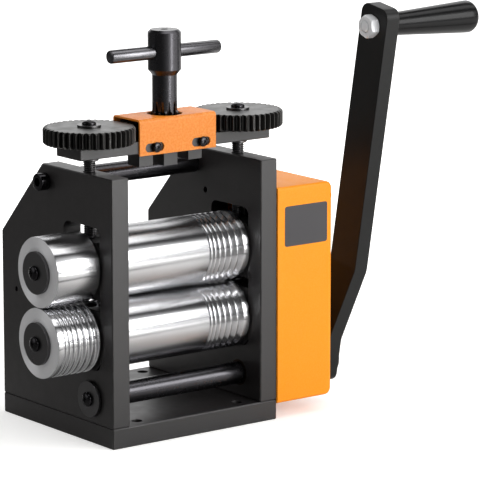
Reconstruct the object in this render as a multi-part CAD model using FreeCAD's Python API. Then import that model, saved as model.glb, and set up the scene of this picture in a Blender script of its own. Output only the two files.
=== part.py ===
import FreeCAD, Part
import math
import os
from FreeCAD import Rotation, Vector

# Jewellers' rolling mill, in millimetres. X runs along the rolls to the right, Y to the back and
# Z up; the origin is the middle of the base plate's underside.

# ---- Frame -------------------------------------------------------------------------------------
frame_width = 98.0            # across the outer faces of the side plates
frame_depth = 94.0
frame_height = 130.0
plate_thickness = 10.0
base_thickness = 10.0
top_flat_end_y = 11.0         # the side plates' back corners are cut off from here
back_edge_height = 92.0       # down to here
edge_break = 0.5              # chamfer on the edges of plates and base
plate_outer_x = frame_width / 2
plate_inner_x = plate_outer_x - plate_thickness
half_depth = frame_depth / 2
plate_screw_seat_z = 5.5      # the plate screws' heads are sunk below the base

bench_hole_spacing_x = 60.0   # bench bolts, M5
bench_hole_spacing_y = 79.0
plate_screw_ys = (-41.0, 38.0)
plate_screw_length = 14.0
oil_hole_diameter = 2.5       # small hole through the left plate
oil_hole_y = 34.5
oil_hole_z = 64.3

# ---- Screws ---------------------------------------------------------------------------------------
m3 = 3.0
m4 = 4.0
m5 = 5.0
m6 = 6.0
thread_play = 0.1             # a tapped hole is drawn plain, this much wider than its screw
clearance_play = 0.4          # a clear hole is this much wider than its screw
pan_head_ratio = 0.3          # height of a pan head to its diameter
socket_head_diameter = 8.5    # M5 socket head cap screws
socket_head_height = 5.0
socket_size_ratio = 0.48      # hexagon across flats to the head's diameter
socket_floor_ratio = 0.45     # metal left under the socket to the head's height
counterbore_play = 0.6

# ---- Rolls -------------------------------------------------------------------------------------
roll_diameter = 34.0
roll_y = -22.0
lower_roll_z = 50.9
closed_nip = 0.1
roll_lift = 6.0               # widest opening of the rolls
upper_roll_z = lower_roll_z + roll_diameter + closed_nip
roll_half_length = 38.7
journal_diameter = 18.0
seat_diameter = 14.0          # the ends that carry side rollers and gears
seat_flat = 5.4               # distance from the axis to the flat on a roller seat
first_wire_groove_x = 14.0    # square wire grooves, from the smallest
wire_groove_widths = (1.2, 1.6, 2.0, 2.4, 2.8, 3.2, 3.6)
wire_groove_land = 0.7

side_roller_inner_x = -50.0
side_roller_width = 24.0
side_roller_outer_x = side_roller_inner_x - side_roller_width
first_round_groove = 3.0      # plain land before the first half-round groove
round_groove_widths = (1.3, 1.6, 2.0, 2.4, 2.8, 3.1, 3.4)
round_groove_land = 0.6
round_groove_depth_ratio = 0.42   # each is a half-round, drawn with two sloping sides
seat_hole_depth = 15.0        # tapped holes in the ends of the rolls
retainer_diameter = 20.5      # washer on the end of a side roller
retainer_thickness = 1.8
end_screw_head = 7.2          # M4 pan heads on the side rollers and the drive shaft
end_screw_length = 11.0

# ---- Bearing blocks in the side plate windows -----------------------------------------------------
window_width = 30.0
window_bottom_z = 36.0
window_corner = 4.0
window_head_room = 1.2        # left over an upper block at its highest
slide_play = 0.05             # between a block and its window, each side
turn_play = 0.05              # radial play of a shaft in its bore
lower_block_top_z = 65.5
upper_block_bottom_z = 70.4
upper_block_top_z = 98.0
window_top_z = upper_block_top_z + roll_lift + window_head_room
spring_diameter = 8.0
spring_wire = 1.0
spring_turns = 2.5
spring_pocket_depth = 3.5

# ---- Gear train in the side cover -----------------------------------------------------------------
drive_shaft_y = -29.0
gear_pressure_angle = 25.0
roll_gear_teeth = 10          # long teeth that stay in mesh while the rolls open
roll_gear_module = (upper_roll_z - lower_roll_z) / roll_gear_teeth
roll_gear_pressure_angle = 28.0
roll_gear_width = 12.0
driven_teeth = 28
drive_teeth = 12
drive_module = 1.5
driven_gear_width = 10.0
driven_hub_length = 3.0
driven_hub_diameter = 22.0
drive_distance = drive_module * (driven_teeth + drive_teeth) / 2
drive_shaft_z = lower_roll_z - math.sqrt(drive_distance ** 2 - (roll_y - drive_shaft_y) ** 2)
tooth_play = 0.12             # taken off each tooth's width at the pitch circle
roll_gear_start_x = 50.0
driven_gear_start_x = roll_gear_start_x + roll_gear_width + driven_hub_length
gear_screw_head_diameter = 17.0   # wide heads hold the gears on the rolls
gear_screw_head_height = 2.2
gear_key = 4.0
seat_setback = 0.3            # a seat ends this far inside what it carries

drive_shaft_diameter = 11.0
drive_journal_diameter = 9.0
bush_diameter = 13.0
shaft_washer_diameter = 17.5
shaft_washer_thickness = 1.5
pinion_hub_diameter = 16.0
pinion_hub_end_x = 80.0
shaft_end_float = 0.4         # the shaft's left end stands this far out of the plate

cover_outer_x = 82.8
cover_front_y = -47.8
cover_back_y = 2 * roll_y - cover_front_y
cover_bottom_z = 7.8
cover_top_z = 115.5
cover_sheet = 1.2
cover_bend = 3.5              # outside radius of the two long bends
cover_shaft_hole = 12.0
cover_screw_head = 6.0
cover_screw_grip = 6.0        # how far these screws run into the side plate
standoff_diameter = 6.0
standoff_places = ((-2.1, 109.2), (-43.0, 108.0), (-2.1, 26.0))

# ---- Crank ----------------------------------------------------------------------------------------
crank_length = 173.0          # shaft axis to grip axis
crank_tilt = 10.35            # the arm leans to the front when the rolls are at rest
crank_width = 20.0
crank_thickness = 8.0
crank_end = 10.0              # metal past each hole
crank_corner = 5.0
crank_low_x = 86.5            # inner face beside the cover
crank_joggle = 11.0           # outward step between the two ends of the arm
joggle_start = 13.0           # along the arm from the shaft axis
joggle_end = 48.0
bend_radius = 9.0
shaft_square = 7.2
square_play = 0.05

grip_gap = 0.3
grip_length = 55.2
grip_small_diameter = 10.8
grip_large_diameter = 16.2
grip_nose = 3.6               # chamfer on the outer end
grip_counterbore = 4.5        # deep, for the bolt's head
grip_bolt_head = 7.0
grip_bolt_recess = 1.0        # the head stands this far inside the grip's end
grip_nut_size = 10.0          # across flats, M6
grip_nut_thickness = 5.0
grip_nut_angle = 12           # how the nut's flats stand on the arm
bolt_overhang = 0.6           # the bolt's end past the nut

# ---- Adjusting yoke -------------------------------------------------------------------------------
adjusting_x = 44.0
bar_length = 112.0
bar_width = 20.0
bar_thickness = 6.0
bar_edge_break = 0.35
bar_bottom_z = 137.4
adjusting_teeth = 42
idler_teeth = 17
spindle_teeth = 12
adjusting_module = 1.0
adjusting_gear_width = 8.0
adjusting_gear_chamfer = 0.9
gear_lift = 0.2               # gears turn this far above the bar
tip_gap = 0.05                # between an adjusting screw's tip and its bearing block
idler_x = adjusting_module * (spindle_teeth + idler_teeth) / 2
screw_collar_diameter = 9.0
screw_collar_height = 2.0
screw_journal_diameter = 8.0
gear_seat_diameter = 7.0
gear_seat_flat = 2.8
gear_seat_play = 0.03
gear_washer_diameter = 11.4
gear_washer_height = 1.0
gear_screw_head = 6.8
gear_screw_length = 8.0
stud_head_width = 8.0
stud_head_depth = 9.6
stud_head_heights = (7.4, 8.3, 6.8)   # below the bar, from the left stud to the right one
stud_pin_diameter = 6.0
stud_fit = 0.02               # radial play of a stud in the bar before it is pressed
idler_stud_rise = 0.4         # how far the studs stand above the gears
spindle_stud_rise = 2.4
bar_top_z = bar_bottom_z + bar_thickness
gear_bottom_z = bar_top_z + gear_lift
gear_top_z = gear_bottom_z + adjusting_gear_width

top_cover_length = 45.0
top_cover_sheet = 1.0
top_cover_bottom_z = 136.4
top_cover_top_z = 153.8
top_cover_bend = 1.8
top_cover_hole = 17.0
top_cover_slot_x = 13.7
top_cover_slot_z = 139.95
top_cover_slot_length = 10.9
top_cover_slot_width = 4.3
top_cover_screw_shift = 1.0   # where the screws stand in their slots
top_cover_screw_head = 5.0
top_cover_screw_diameter = 2.9
top_cover_screw_length = 6.0

spindle_neck_diameter = 12.0
spindle_tip_diameter = 13.6   # over the teeth
spindle_shoulder_z = 154.5    # the teeth taper to the neck above this height
spindle_shoulder_height = 0.8
teeth_full_depth_z = 155.3    # the cutter runs out between these two heights
teeth_end_z = 159.8
spindle_neck_end_z = 172.5
spindle_head_bottom_z = 175.0
spindle_head_diameter = 16.0
spindle_top_z = 194.2
spindle_top_chamfer = 1.2
spindle_centre_hole = 3.4
spindle_centre_depth = 5.0
handle_bar_diameter = 6.5
handle_bar_fit = 0.03
handle_bar_length = 64.0
handle_bar_z = 183.4

# ---- Tie rod --------------------------------------------------------------------------------------
tie_rod_diameter = 10.0
tie_rod_y = 7.7
tie_rod_z = 121.7
tie_rod_screw_length = 22.0
tie_rod_hole_depth = 24.0

parts_folder = "parts"
x_axis = Vector(1, 0, 0)
y_axis = Vector(0, 1, 0)
z_axis = Vector(0, 0, 1)


# ---- Helpers --------------------------------------------------------------------------------------
def save(name, shape):
    shape.exportStep(os.path.join(parts_folder, name + ".step"))
    print(name, len(shape.Solids), round(shape.Volume, 1))


def tapped(diameter):
    return diameter + thread_play


def clear(diameter):
    return diameter + clearance_play


def box(x0, x1, y0, y1, z0, z1):
    return Part.makeBox(x1 - x0, y1 - y0, z1 - z0, Vector(x0, y0, z0))


def rod_x(diameter, x0, x1, y, z):
    return Part.makeCylinder(diameter / 2, x1 - x0, Vector(x0, y, z), x_axis)


def rod_y(diameter, y0, y1, x, z):
    return Part.makeCylinder(diameter / 2, y1 - y0, Vector(x, y0, z), y_axis)


def rod_z(diameter, z0, z1, x, y):
    return Part.makeCylinder(diameter / 2, z1 - z0, Vector(x, y, z0), z_axis)


# Stand a shape that was made along +Z at a point, pointing another way.
def aim(shape, direction, at):
    turned = shape.copy()
    turned.Placement = FreeCAD.Placement(at, Rotation(z_axis, direction))
    return turned


# Lay a shape that was made along Z along X: its X becomes Y and its Y becomes Z.
def lay_along_x(shape, x, y, z):
    laid = shape.copy()
    laid.Placement = FreeCAD.Placement(Vector(x, y, z), Rotation(Vector(1, 1, 1), 120))
    return laid


# Turn a closed outline of (radius, height) points about Z.
def turned_z(points):
    corners = [Vector(radius, 0, height) for radius, height in points]
    outline = Part.makePolygon(corners + corners[:1])
    return Part.Face(outline).revolve(Vector(0, 0, 0), z_axis, 360)


def chamfered_box(x0, x1, y0, y1, z0, z1, size):
    block = box(x0, x1, y0, y1, z0, z1)
    return block.makeChamfer(size, block.Edges)


def rounded_rectangle(width, height, radius):
    half_w = width / 2
    half_h = height / 2
    slab = box(-half_w, half_w, -half_h, half_h, 0, 1)
    uprights = [edge for edge in slab.Edges if abs(edge.tangentAt(0).z) > 0.9]
    rounded = slab.makeFillet(radius, uprights)
    return next(face for face in rounded.Faces if face.CenterOfMass.z < 1e-6)


# Screw made with the underside of its head at z = 0 and its shank below.
def pan_screw(head_diameter, shank_diameter, shank_length):
    head = Part.makeCylinder(head_diameter / 2, pan_head_ratio * head_diameter)
    shank = Part.makeCylinder(shank_diameter / 2, shank_length, Vector(0, 0, -shank_length))
    return head.fuse(shank)


# M5 socket head cap screw, made the same way up as pan_screw, with its hexagon socket.
def socket_screw(shank_length):
    head = Part.makeCylinder(socket_head_diameter / 2, socket_head_height)
    shank = Part.makeCylinder(m5 / 2, shank_length, Vector(0, 0, -shank_length))
    socket = hexagon(socket_size_ratio * socket_head_diameter).extrude(Vector(0, 0, socket_head_height))
    socket.translate(Vector(0, 0, socket_floor_ratio * socket_head_height))
    return head.fuse(shank).cut(socket)


# Regular polygon in the XY plane by its size across flats, with a flat towards flat_angle.
def polygon(sides, across_flats, flat_angle, z=0.0):
    reach = across_flats / 2 / math.cos(math.pi / sides)
    first = math.radians(flat_angle) + math.pi / sides
    corners = [Vector(reach * math.cos(first + 2 * math.pi * k / sides),
                      reach * math.sin(first + 2 * math.pi * k / sides), z) for k in range(sides)]
    return Part.makePolygon(corners + corners[:1])


def hexagon(across_flats):
    return Part.Face(polygon(6, across_flats, 30))


# ---- Gears ----------------------------------------------------------------------------------------
# Angle that an involute has turned through between its base circle and a radius.
def involute_turn(radius, base_radius):
    unrolled = math.sqrt(max((radius / base_radius) ** 2 - 1, 0))
    return unrolled - math.atan(unrolled)


# One flank of a tooth from root to tip, as radii and the half angles of the tooth there.
def tooth_flank(teeth, module, pressure_angle):
    flank_steps = 2
    addendum = module
    dedendum = 1.25 * module
    pitch_radius = teeth * module / 2
    base_radius = pitch_radius * math.cos(math.radians(pressure_angle))
    tip_radius = pitch_radius + addendum
    root_radius = pitch_radius - dedendum
    half_tooth = math.pi / (2 * teeth) - tooth_play / (2 * pitch_radius)
    half_base = half_tooth + involute_turn(pitch_radius, base_radius)
    flank_start = max(base_radius, root_radius)
    flank = [(root_radius, half_base - involute_turn(flank_start, base_radius))]
    first_step = 0 if base_radius > root_radius else 1
    for step in range(first_step, flank_steps + 1):
        radius = flank_start + (tip_radius - flank_start) * step / flank_steps
        flank.append((radius, half_base - involute_turn(radius, base_radius)))
    return flank


# Outline of a spur gear in the XY plane, with the middle of one tooth at tooth_angle.
def gear_face(teeth, module, pressure_angle, tooth_angle):
    flank = tooth_flank(teeth, module, pressure_angle)
    corners = []
    for tooth in range(teeth):
        middle = math.radians(tooth_angle) + 2 * math.pi * tooth / teeth
        for radius, half in flank:
            corners.append(Vector(radius * math.cos(middle - half), radius * math.sin(middle - half), 0))
        for radius, half in reversed(flank):
            corners.append(Vector(radius * math.cos(middle + half), radius * math.sin(middle + half), 0))
    return Part.Face(Part.makePolygon(corners + corners[:1]))


# Spur gear along Z from z = 0.
def gear(teeth, module, pressure_angle, tooth_angle, width):
    return gear_face(teeth, module, pressure_angle, tooth_angle).extrude(Vector(0, 0, width))


# Cut a flat chamfer on both ends of every tooth, each square to the middle of its tooth.
def chamfer_teeth(wheel, teeth, module, tooth_angle, width, chamfer):
    across_tips = (teeth + 2) * module + 0.02
    blank = Part.Face(polygon(teeth, across_tips, tooth_angle)).extrude(Vector(0, 0, width))
    rims = [edge for edge in blank.Edges if abs(edge.tangentAt(0).z) < 0.1]
    return wheel.common(blank.makeChamfer(chamfer, rims))


# ---- Frame pieces ---------------------------------------------------------------------------------
def make_base_plate():
    plate = chamfered_box(-plate_outer_x, plate_outer_x, -half_depth, half_depth, 0, base_thickness,
                          edge_break)
    for side_x in (-1, 1):
        for side_y in (-1, 1):
            x = side_x * bench_hole_spacing_x / 2
            y = side_y * bench_hole_spacing_y / 2
            plate = plate.cut(rod_z(clear(m5), -1, base_thickness + 1, x, y))
        for y in plate_screw_ys:
            x = side_x * adjusting_x
            plate = plate.cut(rod_z(socket_head_diameter + counterbore_play, -1, plate_screw_seat_z, x, y))
            plate = plate.cut(rod_z(clear(m5), 0, base_thickness + 1, x, y))
    save("base_plate", plate)


def make_plate_screws():
    screws = []
    for side_x in (-1, 1):
        for y in plate_screw_ys:
            at = Vector(side_x * adjusting_x, y, plate_screw_seat_z)
            screws.append(aim(socket_screw(plate_screw_length), -z_axis, at))
    save("plate_screws", Part.makeCompound(screws))


# Side plate between x0 and x0 + plate_thickness, with its bearing window and its shaft hole.
def side_plate(x0):
    outline = [(-half_depth, base_thickness), (-half_depth, frame_height), (top_flat_end_y, frame_height),
               (half_depth, back_edge_height), (half_depth, base_thickness)]
    corners = [Vector(x0, y, z) for y, z in outline]
    plate = Part.Face(Part.makePolygon(corners + corners[:1])).extrude(x_axis * plate_thickness)
    plate = plate.makeChamfer(edge_break, plate.Edges)
    window = rounded_rectangle(window_width, window_top_z - window_bottom_z, window_corner)
    window = window.extrude(Vector(0, 0, plate_thickness + 2))
    middle_z = (window_top_z + window_bottom_z) / 2
    plate = plate.cut(lay_along_x(window, x0 - 1, roll_y, middle_z))
    middle_x = x0 + plate_thickness / 2
    plate = plate.cut(rod_x(bush_diameter, x0 - 1, x0 + plate_thickness + 1, drive_shaft_y, drive_shaft_z))
    plate = plate.cut(rod_x(clear(m5), x0 - 1, x0 + plate_thickness + 1, tie_rod_y, tie_rod_z))
    plate = plate.cut(rod_z(m6 + 2 * turn_play, window_top_z - 1, frame_height + 1, middle_x, roll_y))
    screw_hole_top = plate_screw_seat_z + plate_screw_length + 1
    for y in plate_screw_ys:
        plate = plate.cut(rod_z(tapped(m5), base_thickness - 1, screw_hole_top, middle_x, y))
    return plate


def make_side_plates():
    left = side_plate(-plate_outer_x)
    oil_hole = rod_x(oil_hole_diameter, -plate_outer_x - 1, -plate_inner_x + 1, oil_hole_y, oil_hole_z)
    save("left_plate", left.cut(oil_hole))
    right = side_plate(plate_inner_x)
    through_y, through_z = standoff_places[0]
    right = right.cut(rod_x(tapped(m3), plate_inner_x - 1, plate_outer_x + 1, through_y, through_z))
    for y, z in standoff_places[1:]:
        right = right.cut(rod_x(tapped(m3), plate_outer_x - cover_screw_grip - 1, plate_outer_x + 1, y, z))
    save("right_plate", right)


def make_tie_rod():
    rod = rod_x(tie_rod_diameter, -plate_inner_x, plate_inner_x, tie_rod_y, tie_rod_z)
    for end in (-1, 1):
        mouth = end * (plate_inner_x + 1)
        deep = end * (plate_outer_x - tie_rod_hole_depth)
        rod = rod.cut(rod_x(tapped(m5), min(deep, mouth), max(deep, mouth), tie_rod_y, tie_rod_z))
    save("upper_tie_rod", rod)
    screws = []
    for end in (-1, 1):
        at = Vector(end * plate_outer_x, tie_rod_y, tie_rod_z)
        screws.append(aim(socket_screw(tie_rod_screw_length), x_axis * end, at))
    save("tie_rod_screws", Part.makeCompound(screws))


def spring_pocket(x, z):
    return rod_z(spring_diameter + 1.2, z, z + spring_pocket_depth, x, roll_y)


def make_bearing_blocks():
    half = window_width / 2
    for name, side in (("left", -1), ("right", 1)):
        x0 = min(side * plate_inner_x, side * plate_outer_x)
        x1 = x0 + plate_thickness
        middle_x = (x0 + x1) / 2
        journal = journal_diameter + 2 * turn_play
        lower = box(x0, x1, roll_y - half, roll_y + half, window_bottom_z, lower_block_top_z)
        corners = [edge for edge in lower.Edges if abs(edge.tangentAt(0).x) > 0.9
                   and edge.CenterOfMass.z < window_bottom_z + 1]
        lower = lower.makeChamfer(window_corner, corners)
        lower = lower.cut(rod_x(journal, x0 - 1, x1 + 1, roll_y, lower_roll_z))
        lower = lower.cut(spring_pocket(middle_x, lower_block_top_z - spring_pocket_depth))
        save("lower_bearing_" + name, lower)
        sliding = half - slide_play
        upper = box(x0, x1, roll_y - sliding, roll_y + sliding, upper_block_bottom_z, upper_block_top_z)
        corners = [edge for edge in upper.Edges if abs(edge.tangentAt(0).x) > 0.9
                   and edge.CenterOfMass.z > upper_block_top_z - 1]
        upper = upper.makeChamfer(window_corner - 1, corners)
        upper = upper.cut(rod_x(journal, x0 - 1, x1 + 1, roll_y, upper_roll_z))
        upper = upper.cut(spring_pocket(middle_x, upper_block_bottom_z))
        save("upper_bearing_" + name, upper)


# Return springs lift the upper blocks off the lower ones as the screws are backed out.
def make_springs():
    bottom = lower_block_top_z - spring_pocket_depth + spring_wire / 2
    top = upper_block_bottom_z + spring_pocket_depth - spring_wire / 2
    radius = (spring_diameter - spring_wire) / 2
    pitch = (top - bottom) / spring_turns
    path = Part.makeHelix(pitch, top - bottom, radius)
    wire = spring_wire / 2
    corners = [Vector(radius + side_x * wire, 0, side_z * wire)
               for side_x, side_z in ((-1, -1), (1, -1), (1, 1), (-1, 1))]
    section = Part.makePolygon(corners + corners[:1])
    coil = Part.Wire(path).makePipeShell([section], True, True)
    springs = []
    for side in (-1, 1):
        spring = coil.copy()
        spring.translate(Vector(side * adjusting_x, roll_y, bottom))
        springs.append(spring)
    save("return_springs", Part.makeCompound(springs))


# ---- Rolls ----------------------------------------------------------------------------------------
# Roll outline of (x, radius) points from the left end to the right end.
def roll_outline(left_end_x, right_end_x):
    radius = roll_diameter / 2
    seat = seat_diameter / 2
    journal = journal_diameter / 2
    points = [(left_end_x, seat), (side_roller_inner_x, seat), (side_roller_inner_x, journal),
              (-roll_half_length, journal), (-roll_half_length, radius)]
    x = first_wire_groove_x
    for width in wire_groove_widths:
        points += [(x, radius), (x + width / 2, radius - width / 2), (x + width, radius)]
        x += width + wire_groove_land
    points += [(roll_half_length, radius), (roll_half_length, journal), (roll_gear_start_x, journal),
               (roll_gear_start_x, seat), (right_end_x, seat)]
    return points


def roll(axis_z, right_end_x):
    left_end_x = side_roller_outer_x + seat_setback
    corners = [Vector(left_end_x, 0, 0)]
    corners += [Vector(x, radius, 0) for x, radius in roll_outline(left_end_x, right_end_x)]
    corners += [Vector(right_end_x, 0, 0)]
    outline = Part.Face(Part.makePolygon(corners + corners[:1]))
    body = outline.revolve(Vector(0, 0, 0), x_axis, 360)
    body.translate(Vector(0, roll_y, axis_z))
    flat_y = roll_y + seat_flat
    body = body.cut(box(left_end_x - 1, side_roller_inner_x, flat_y, roll_y + seat_diameter,
                        axis_z - seat_diameter, axis_z + seat_diameter))
    body = body.cut(rod_x(tapped(m4), left_end_x - 1, left_end_x + seat_hole_depth, roll_y, axis_z))
    body = body.cut(rod_x(tapped(m4), right_end_x - seat_hole_depth, right_end_x + 1, roll_y, axis_z))
    return body.cut(key_block(axis_z, right_end_x, 0))


# Square key in the top of the gear seat, half in the seat and half in the gears.
def key_block(axis_z, right_end_x, play):
    low = axis_z + seat_diameter / 2 - gear_key / 2 - play
    half = gear_key / 2 + play
    return box(roll_gear_start_x + 0.5, right_end_x - 0.5, roll_y - half, roll_y + half,
               low, low + gear_key + 2 * play)


# Outline of a side roller as (radius, height from its outer face).
def side_roller_outline(grooved):
    seat_hole = seat_diameter / 2 + turn_play
    outer = roll_diameter / 2
    points = [(seat_hole, 0), (outer, 0)]
    if grooved:
        height = first_round_groove
        for width in round_groove_widths:
            bottom = outer - round_groove_depth_ratio * width
            points += [(outer, height), (bottom, height + width / 2), (outer, height + width)]
            height += width + round_groove_land
    return points + [(outer, side_roller_width), (seat_hole, side_roller_width)]


# Side roller whose hole has a flat, to sit on the flat of its seat.
def side_roller(axis_z, grooved):
    roller = lay_along_x(turned_z(side_roller_outline(grooved)), side_roller_outer_x, roll_y, axis_z)
    flat_y = seat_flat + turn_play
    far_y = seat_diameter / 2 + 2 * turn_play
    half_width = math.sqrt(far_y ** 2 - flat_y ** 2) + turn_play
    flat = box(side_roller_outer_x, side_roller_inner_x, roll_y + flat_y, roll_y + far_y,
               axis_z - half_width, axis_z + half_width)
    return roller.fuse(flat).removeSplitter()


def flat_washer(diameter, screw_diameter, thickness):
    washer = Part.makeCylinder(diameter / 2, thickness)
    return washer.cut(Part.makeCylinder(clear(screw_diameter) / 2, thickness))


# Washer that holds a side roller on.
def retainer(axis_z):
    washer = flat_washer(retainer_diameter, m4, retainer_thickness)
    return lay_along_x(washer, side_roller_outer_x - retainer_thickness, roll_y, axis_z)


def retainer_screw(axis_z):
    screw = pan_screw(end_screw_head, m4, end_screw_length)
    at = Vector(side_roller_outer_x - retainer_thickness, roll_y, axis_z)
    return aim(screw, -x_axis, at)


def gear_on_roll(face_angle, axis_z):
    blank = gear(roll_gear_teeth, roll_gear_module, roll_gear_pressure_angle, face_angle, roll_gear_width)
    placed = lay_along_x(blank, roll_gear_start_x, roll_y, axis_z)
    return placed.cut(gear_bore(axis_z))


def gear_bore(axis_z):
    return rod_x(seat_diameter + 2 * turn_play, roll_gear_start_x - 1, cover_outer_x, roll_y, axis_z)


def gear_end_screw(end_x, axis_z):
    head = rod_x(gear_screw_head_diameter, end_x, end_x + gear_screw_head_height, roll_y, axis_z)
    return head.fuse(rod_x(m4, end_x - end_screw_length, end_x, roll_y, axis_z))


def make_upper_roll():
    end_x = roll_gear_start_x + roll_gear_width
    seat_end = end_x - seat_setback
    save("upper_roll", roll(upper_roll_z, seat_end))
    save("upper_side_roller", side_roller(upper_roll_z, False))
    save("upper_side_washer", retainer(upper_roll_z))
    save("upper_side_screw", retainer_screw(upper_roll_z))
    save("upper_roll_gear", gear_on_roll(-90 + 180 / roll_gear_teeth, upper_roll_z).cut(
        key_block(upper_roll_z, seat_end, turn_play)))
    save("upper_roll_key", key_block(upper_roll_z, seat_end, 0))
    save("upper_gear_screw", gear_end_screw(end_x, upper_roll_z))


def make_lower_roll():
    end_x = driven_gear_start_x + driven_gear_width
    seat_end = end_x - seat_setback
    key_space = key_block(lower_roll_z, seat_end, turn_play)
    save("lower_roll", roll(lower_roll_z, seat_end))
    save("lower_side_roller", side_roller(lower_roll_z, True))
    save("lower_side_washer", retainer(lower_roll_z))
    save("lower_side_screw", retainer_screw(lower_roll_z))
    save("lower_roll_gear", gear_on_roll(90, lower_roll_z).cut(key_space))
    save("lower_roll_key", key_block(lower_roll_z, seat_end, 0))
    wheel = gear(driven_teeth, drive_module, gear_pressure_angle, shaft_direction(), driven_gear_width)
    wheel = lay_along_x(wheel, driven_gear_start_x, roll_y, lower_roll_z)
    hub = rod_x(driven_hub_diameter, driven_gear_start_x - driven_hub_length, driven_gear_start_x,
                roll_y, lower_roll_z)
    save("driven_gear", wheel.fuse(hub).cut([gear_bore(lower_roll_z), key_space]))
    save("lower_gear_screw", gear_end_screw(end_x, lower_roll_z))


# Angle in the YZ plane from the lower roll's axis to the drive shaft's.
def shaft_direction():
    return math.degrees(math.atan2(drive_shaft_z - lower_roll_z, drive_shaft_y - roll_y))


# ---- Drive shaft and crank ------------------------------------------------------------------------
def make_shaft_bushes():
    bushes = []
    for x0 in (-plate_outer_x, plate_inner_x):
        bush = rod_x(bush_diameter, x0, x0 + plate_thickness, drive_shaft_y, drive_shaft_z)
        bore = rod_x(drive_journal_diameter + 2 * turn_play, x0 - 1, x0 + plate_thickness + 1,
                     drive_shaft_y, drive_shaft_z)
        bushes.append(bush.cut(bore))
    save("shaft_bushes", Part.makeCompound(bushes))


def turn_to_crank(shape):
    turned = shape.copy()
    turned.rotate(Vector(0, 0, 0), x_axis, crank_tilt)
    turned.translate(Vector(0, drive_shaft_y, drive_shaft_z))
    return turned


def make_drive_shaft():
    y, z = drive_shaft_y, drive_shaft_z
    shoulder = plate_inner_x - seat_setback
    left_end = -plate_outer_x - shaft_end_float
    right_end = crank_low_x + crank_thickness - seat_setback
    hole_depth = end_screw_length + 1
    thick = rod_x(drive_shaft_diameter, -shoulder, shoulder, y, z)
    thin = rod_x(drive_journal_diameter, left_end, crank_low_x, y, z)
    half = shaft_square / 2
    square = box(crank_low_x, right_end, -half, half, -half, half)
    square = square.common(rod_x(drive_journal_diameter, crank_low_x, right_end, 0, 0))
    shaft = thick.fuse([thin, turn_to_crank(square)])
    shaft = shaft.cut(rod_x(tapped(m4), left_end - 1, left_end + hole_depth, y, z))
    save("drive_shaft", shaft.cut(rod_x(tapped(m4), right_end - hole_depth, right_end + 1, y, z)))


def make_drive_pinion():
    y, z = drive_shaft_y, drive_shaft_z
    overlap = 0.5
    start = driven_gear_start_x - overlap
    width = driven_gear_width + 2 * overlap
    gap_angle = shaft_direction() + 180 + 180 / drive_teeth
    teeth = gear(drive_teeth, drive_module, gear_pressure_angle, gap_angle, width)
    hub = rod_x(pinion_hub_diameter, start + width, pinion_hub_end_x, y, z)
    pinion = lay_along_x(teeth, start, y, z).fuse(hub)
    save("drive_pinion", pinion.cut(rod_x(drive_journal_diameter, start - 1, pinion_hub_end_x + 1, y, z)))


def make_shaft_fasteners():
    y, z = drive_shaft_y, drive_shaft_z
    washers = []
    screws = []
    for face_x, outward in ((-plate_outer_x - shaft_end_float, -1), (crank_low_x + crank_thickness, 1)):
        washer = flat_washer(shaft_washer_diameter, m4, shaft_washer_thickness)
        washers.append(aim(washer, x_axis * outward, Vector(face_x, y, z)))
        screw = pan_screw(end_screw_head, m4, end_screw_length)
        seat_x = face_x + outward * shaft_washer_thickness
        screws.append(aim(screw, x_axis * outward, Vector(seat_x, y, z)))
    save("shaft_washers", Part.makeCompound(washers))
    save("shaft_screws", Part.makeCompound(screws))


# The arm is made upright: X is the world's X and Z runs along the arm from the shaft axis.
def make_crank_arm():
    half_angle = math.atan(crank_joggle / (joggle_end - joggle_start)) / 2
    shift = crank_thickness * math.tan(half_angle)
    low = -crank_end
    high = crank_length + crank_end
    inner = crank_low_x
    outer = crank_low_x + crank_thickness
    side = [(inner, low), (outer, low), (outer, joggle_start), (outer + crank_joggle, joggle_end),
            (outer + crank_joggle, high), (inner + crank_joggle, high),
            (inner + crank_joggle, joggle_end + shift), (inner, joggle_start + shift)]
    corners = [Vector(x, -crank_width / 2, z) for x, z in side]
    arm = Part.Face(Part.makePolygon(corners + corners[:1])).extrude(y_axis * crank_width)
    bends = [edge for edge in arm.Edges if abs(edge.tangentAt(edge.FirstParameter).y) > 0.9
             and low + 1 < edge.CenterOfMass.z < high - 1]
    arm = arm.makeFillet(bend_radius, bends)
    front = rounded_rectangle(crank_width, high - low, crank_corner)
    front = front.extrude(Vector(0, 0, crank_thickness + crank_joggle + 2))
    arm = arm.common(lay_along_x(front, inner - 1, 0, (low + high) / 2))
    half = shaft_square / 2 + square_play
    arm = arm.cut(box(inner - 1, outer + 1, -half, half, -half, half))
    arm = arm.cut(rod_x(clear(m6), inner, outer + crank_joggle + 1, 0, crank_length))
    save("crank_arm", turn_to_crank(arm))


# Grip, a slim cone with a chamfered end, turned about X; its bolt head sits in a counterbore.
def make_grip():
    start = crank_low_x + crank_joggle + crank_thickness + grip_gap
    end = start + grip_length
    large = grip_large_diameter / 2
    outline = [(start, 0), (start, grip_small_diameter / 2), (end - grip_nose, large),
               (end, large - grip_nose), (end, 0)]
    corners = [Vector(x, radius, 0) for x, radius in outline]
    grip = Part.Face(Part.makePolygon(corners + corners[:1])).revolve(Vector(0, 0, 0), x_axis, 360)
    grip = grip.cut(rod_x(m6 + 2 * turn_play, start - 1, end + 1, 0, 0))
    grip = grip.cut(rod_x(grip_bolt_head + counterbore_play, end - grip_counterbore, end + 1, 0, 0))
    grip.translate(Vector(0, 0, crank_length))
    save("crank_grip", turn_to_crank(grip))
    make_grip_bolt(end)


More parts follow.
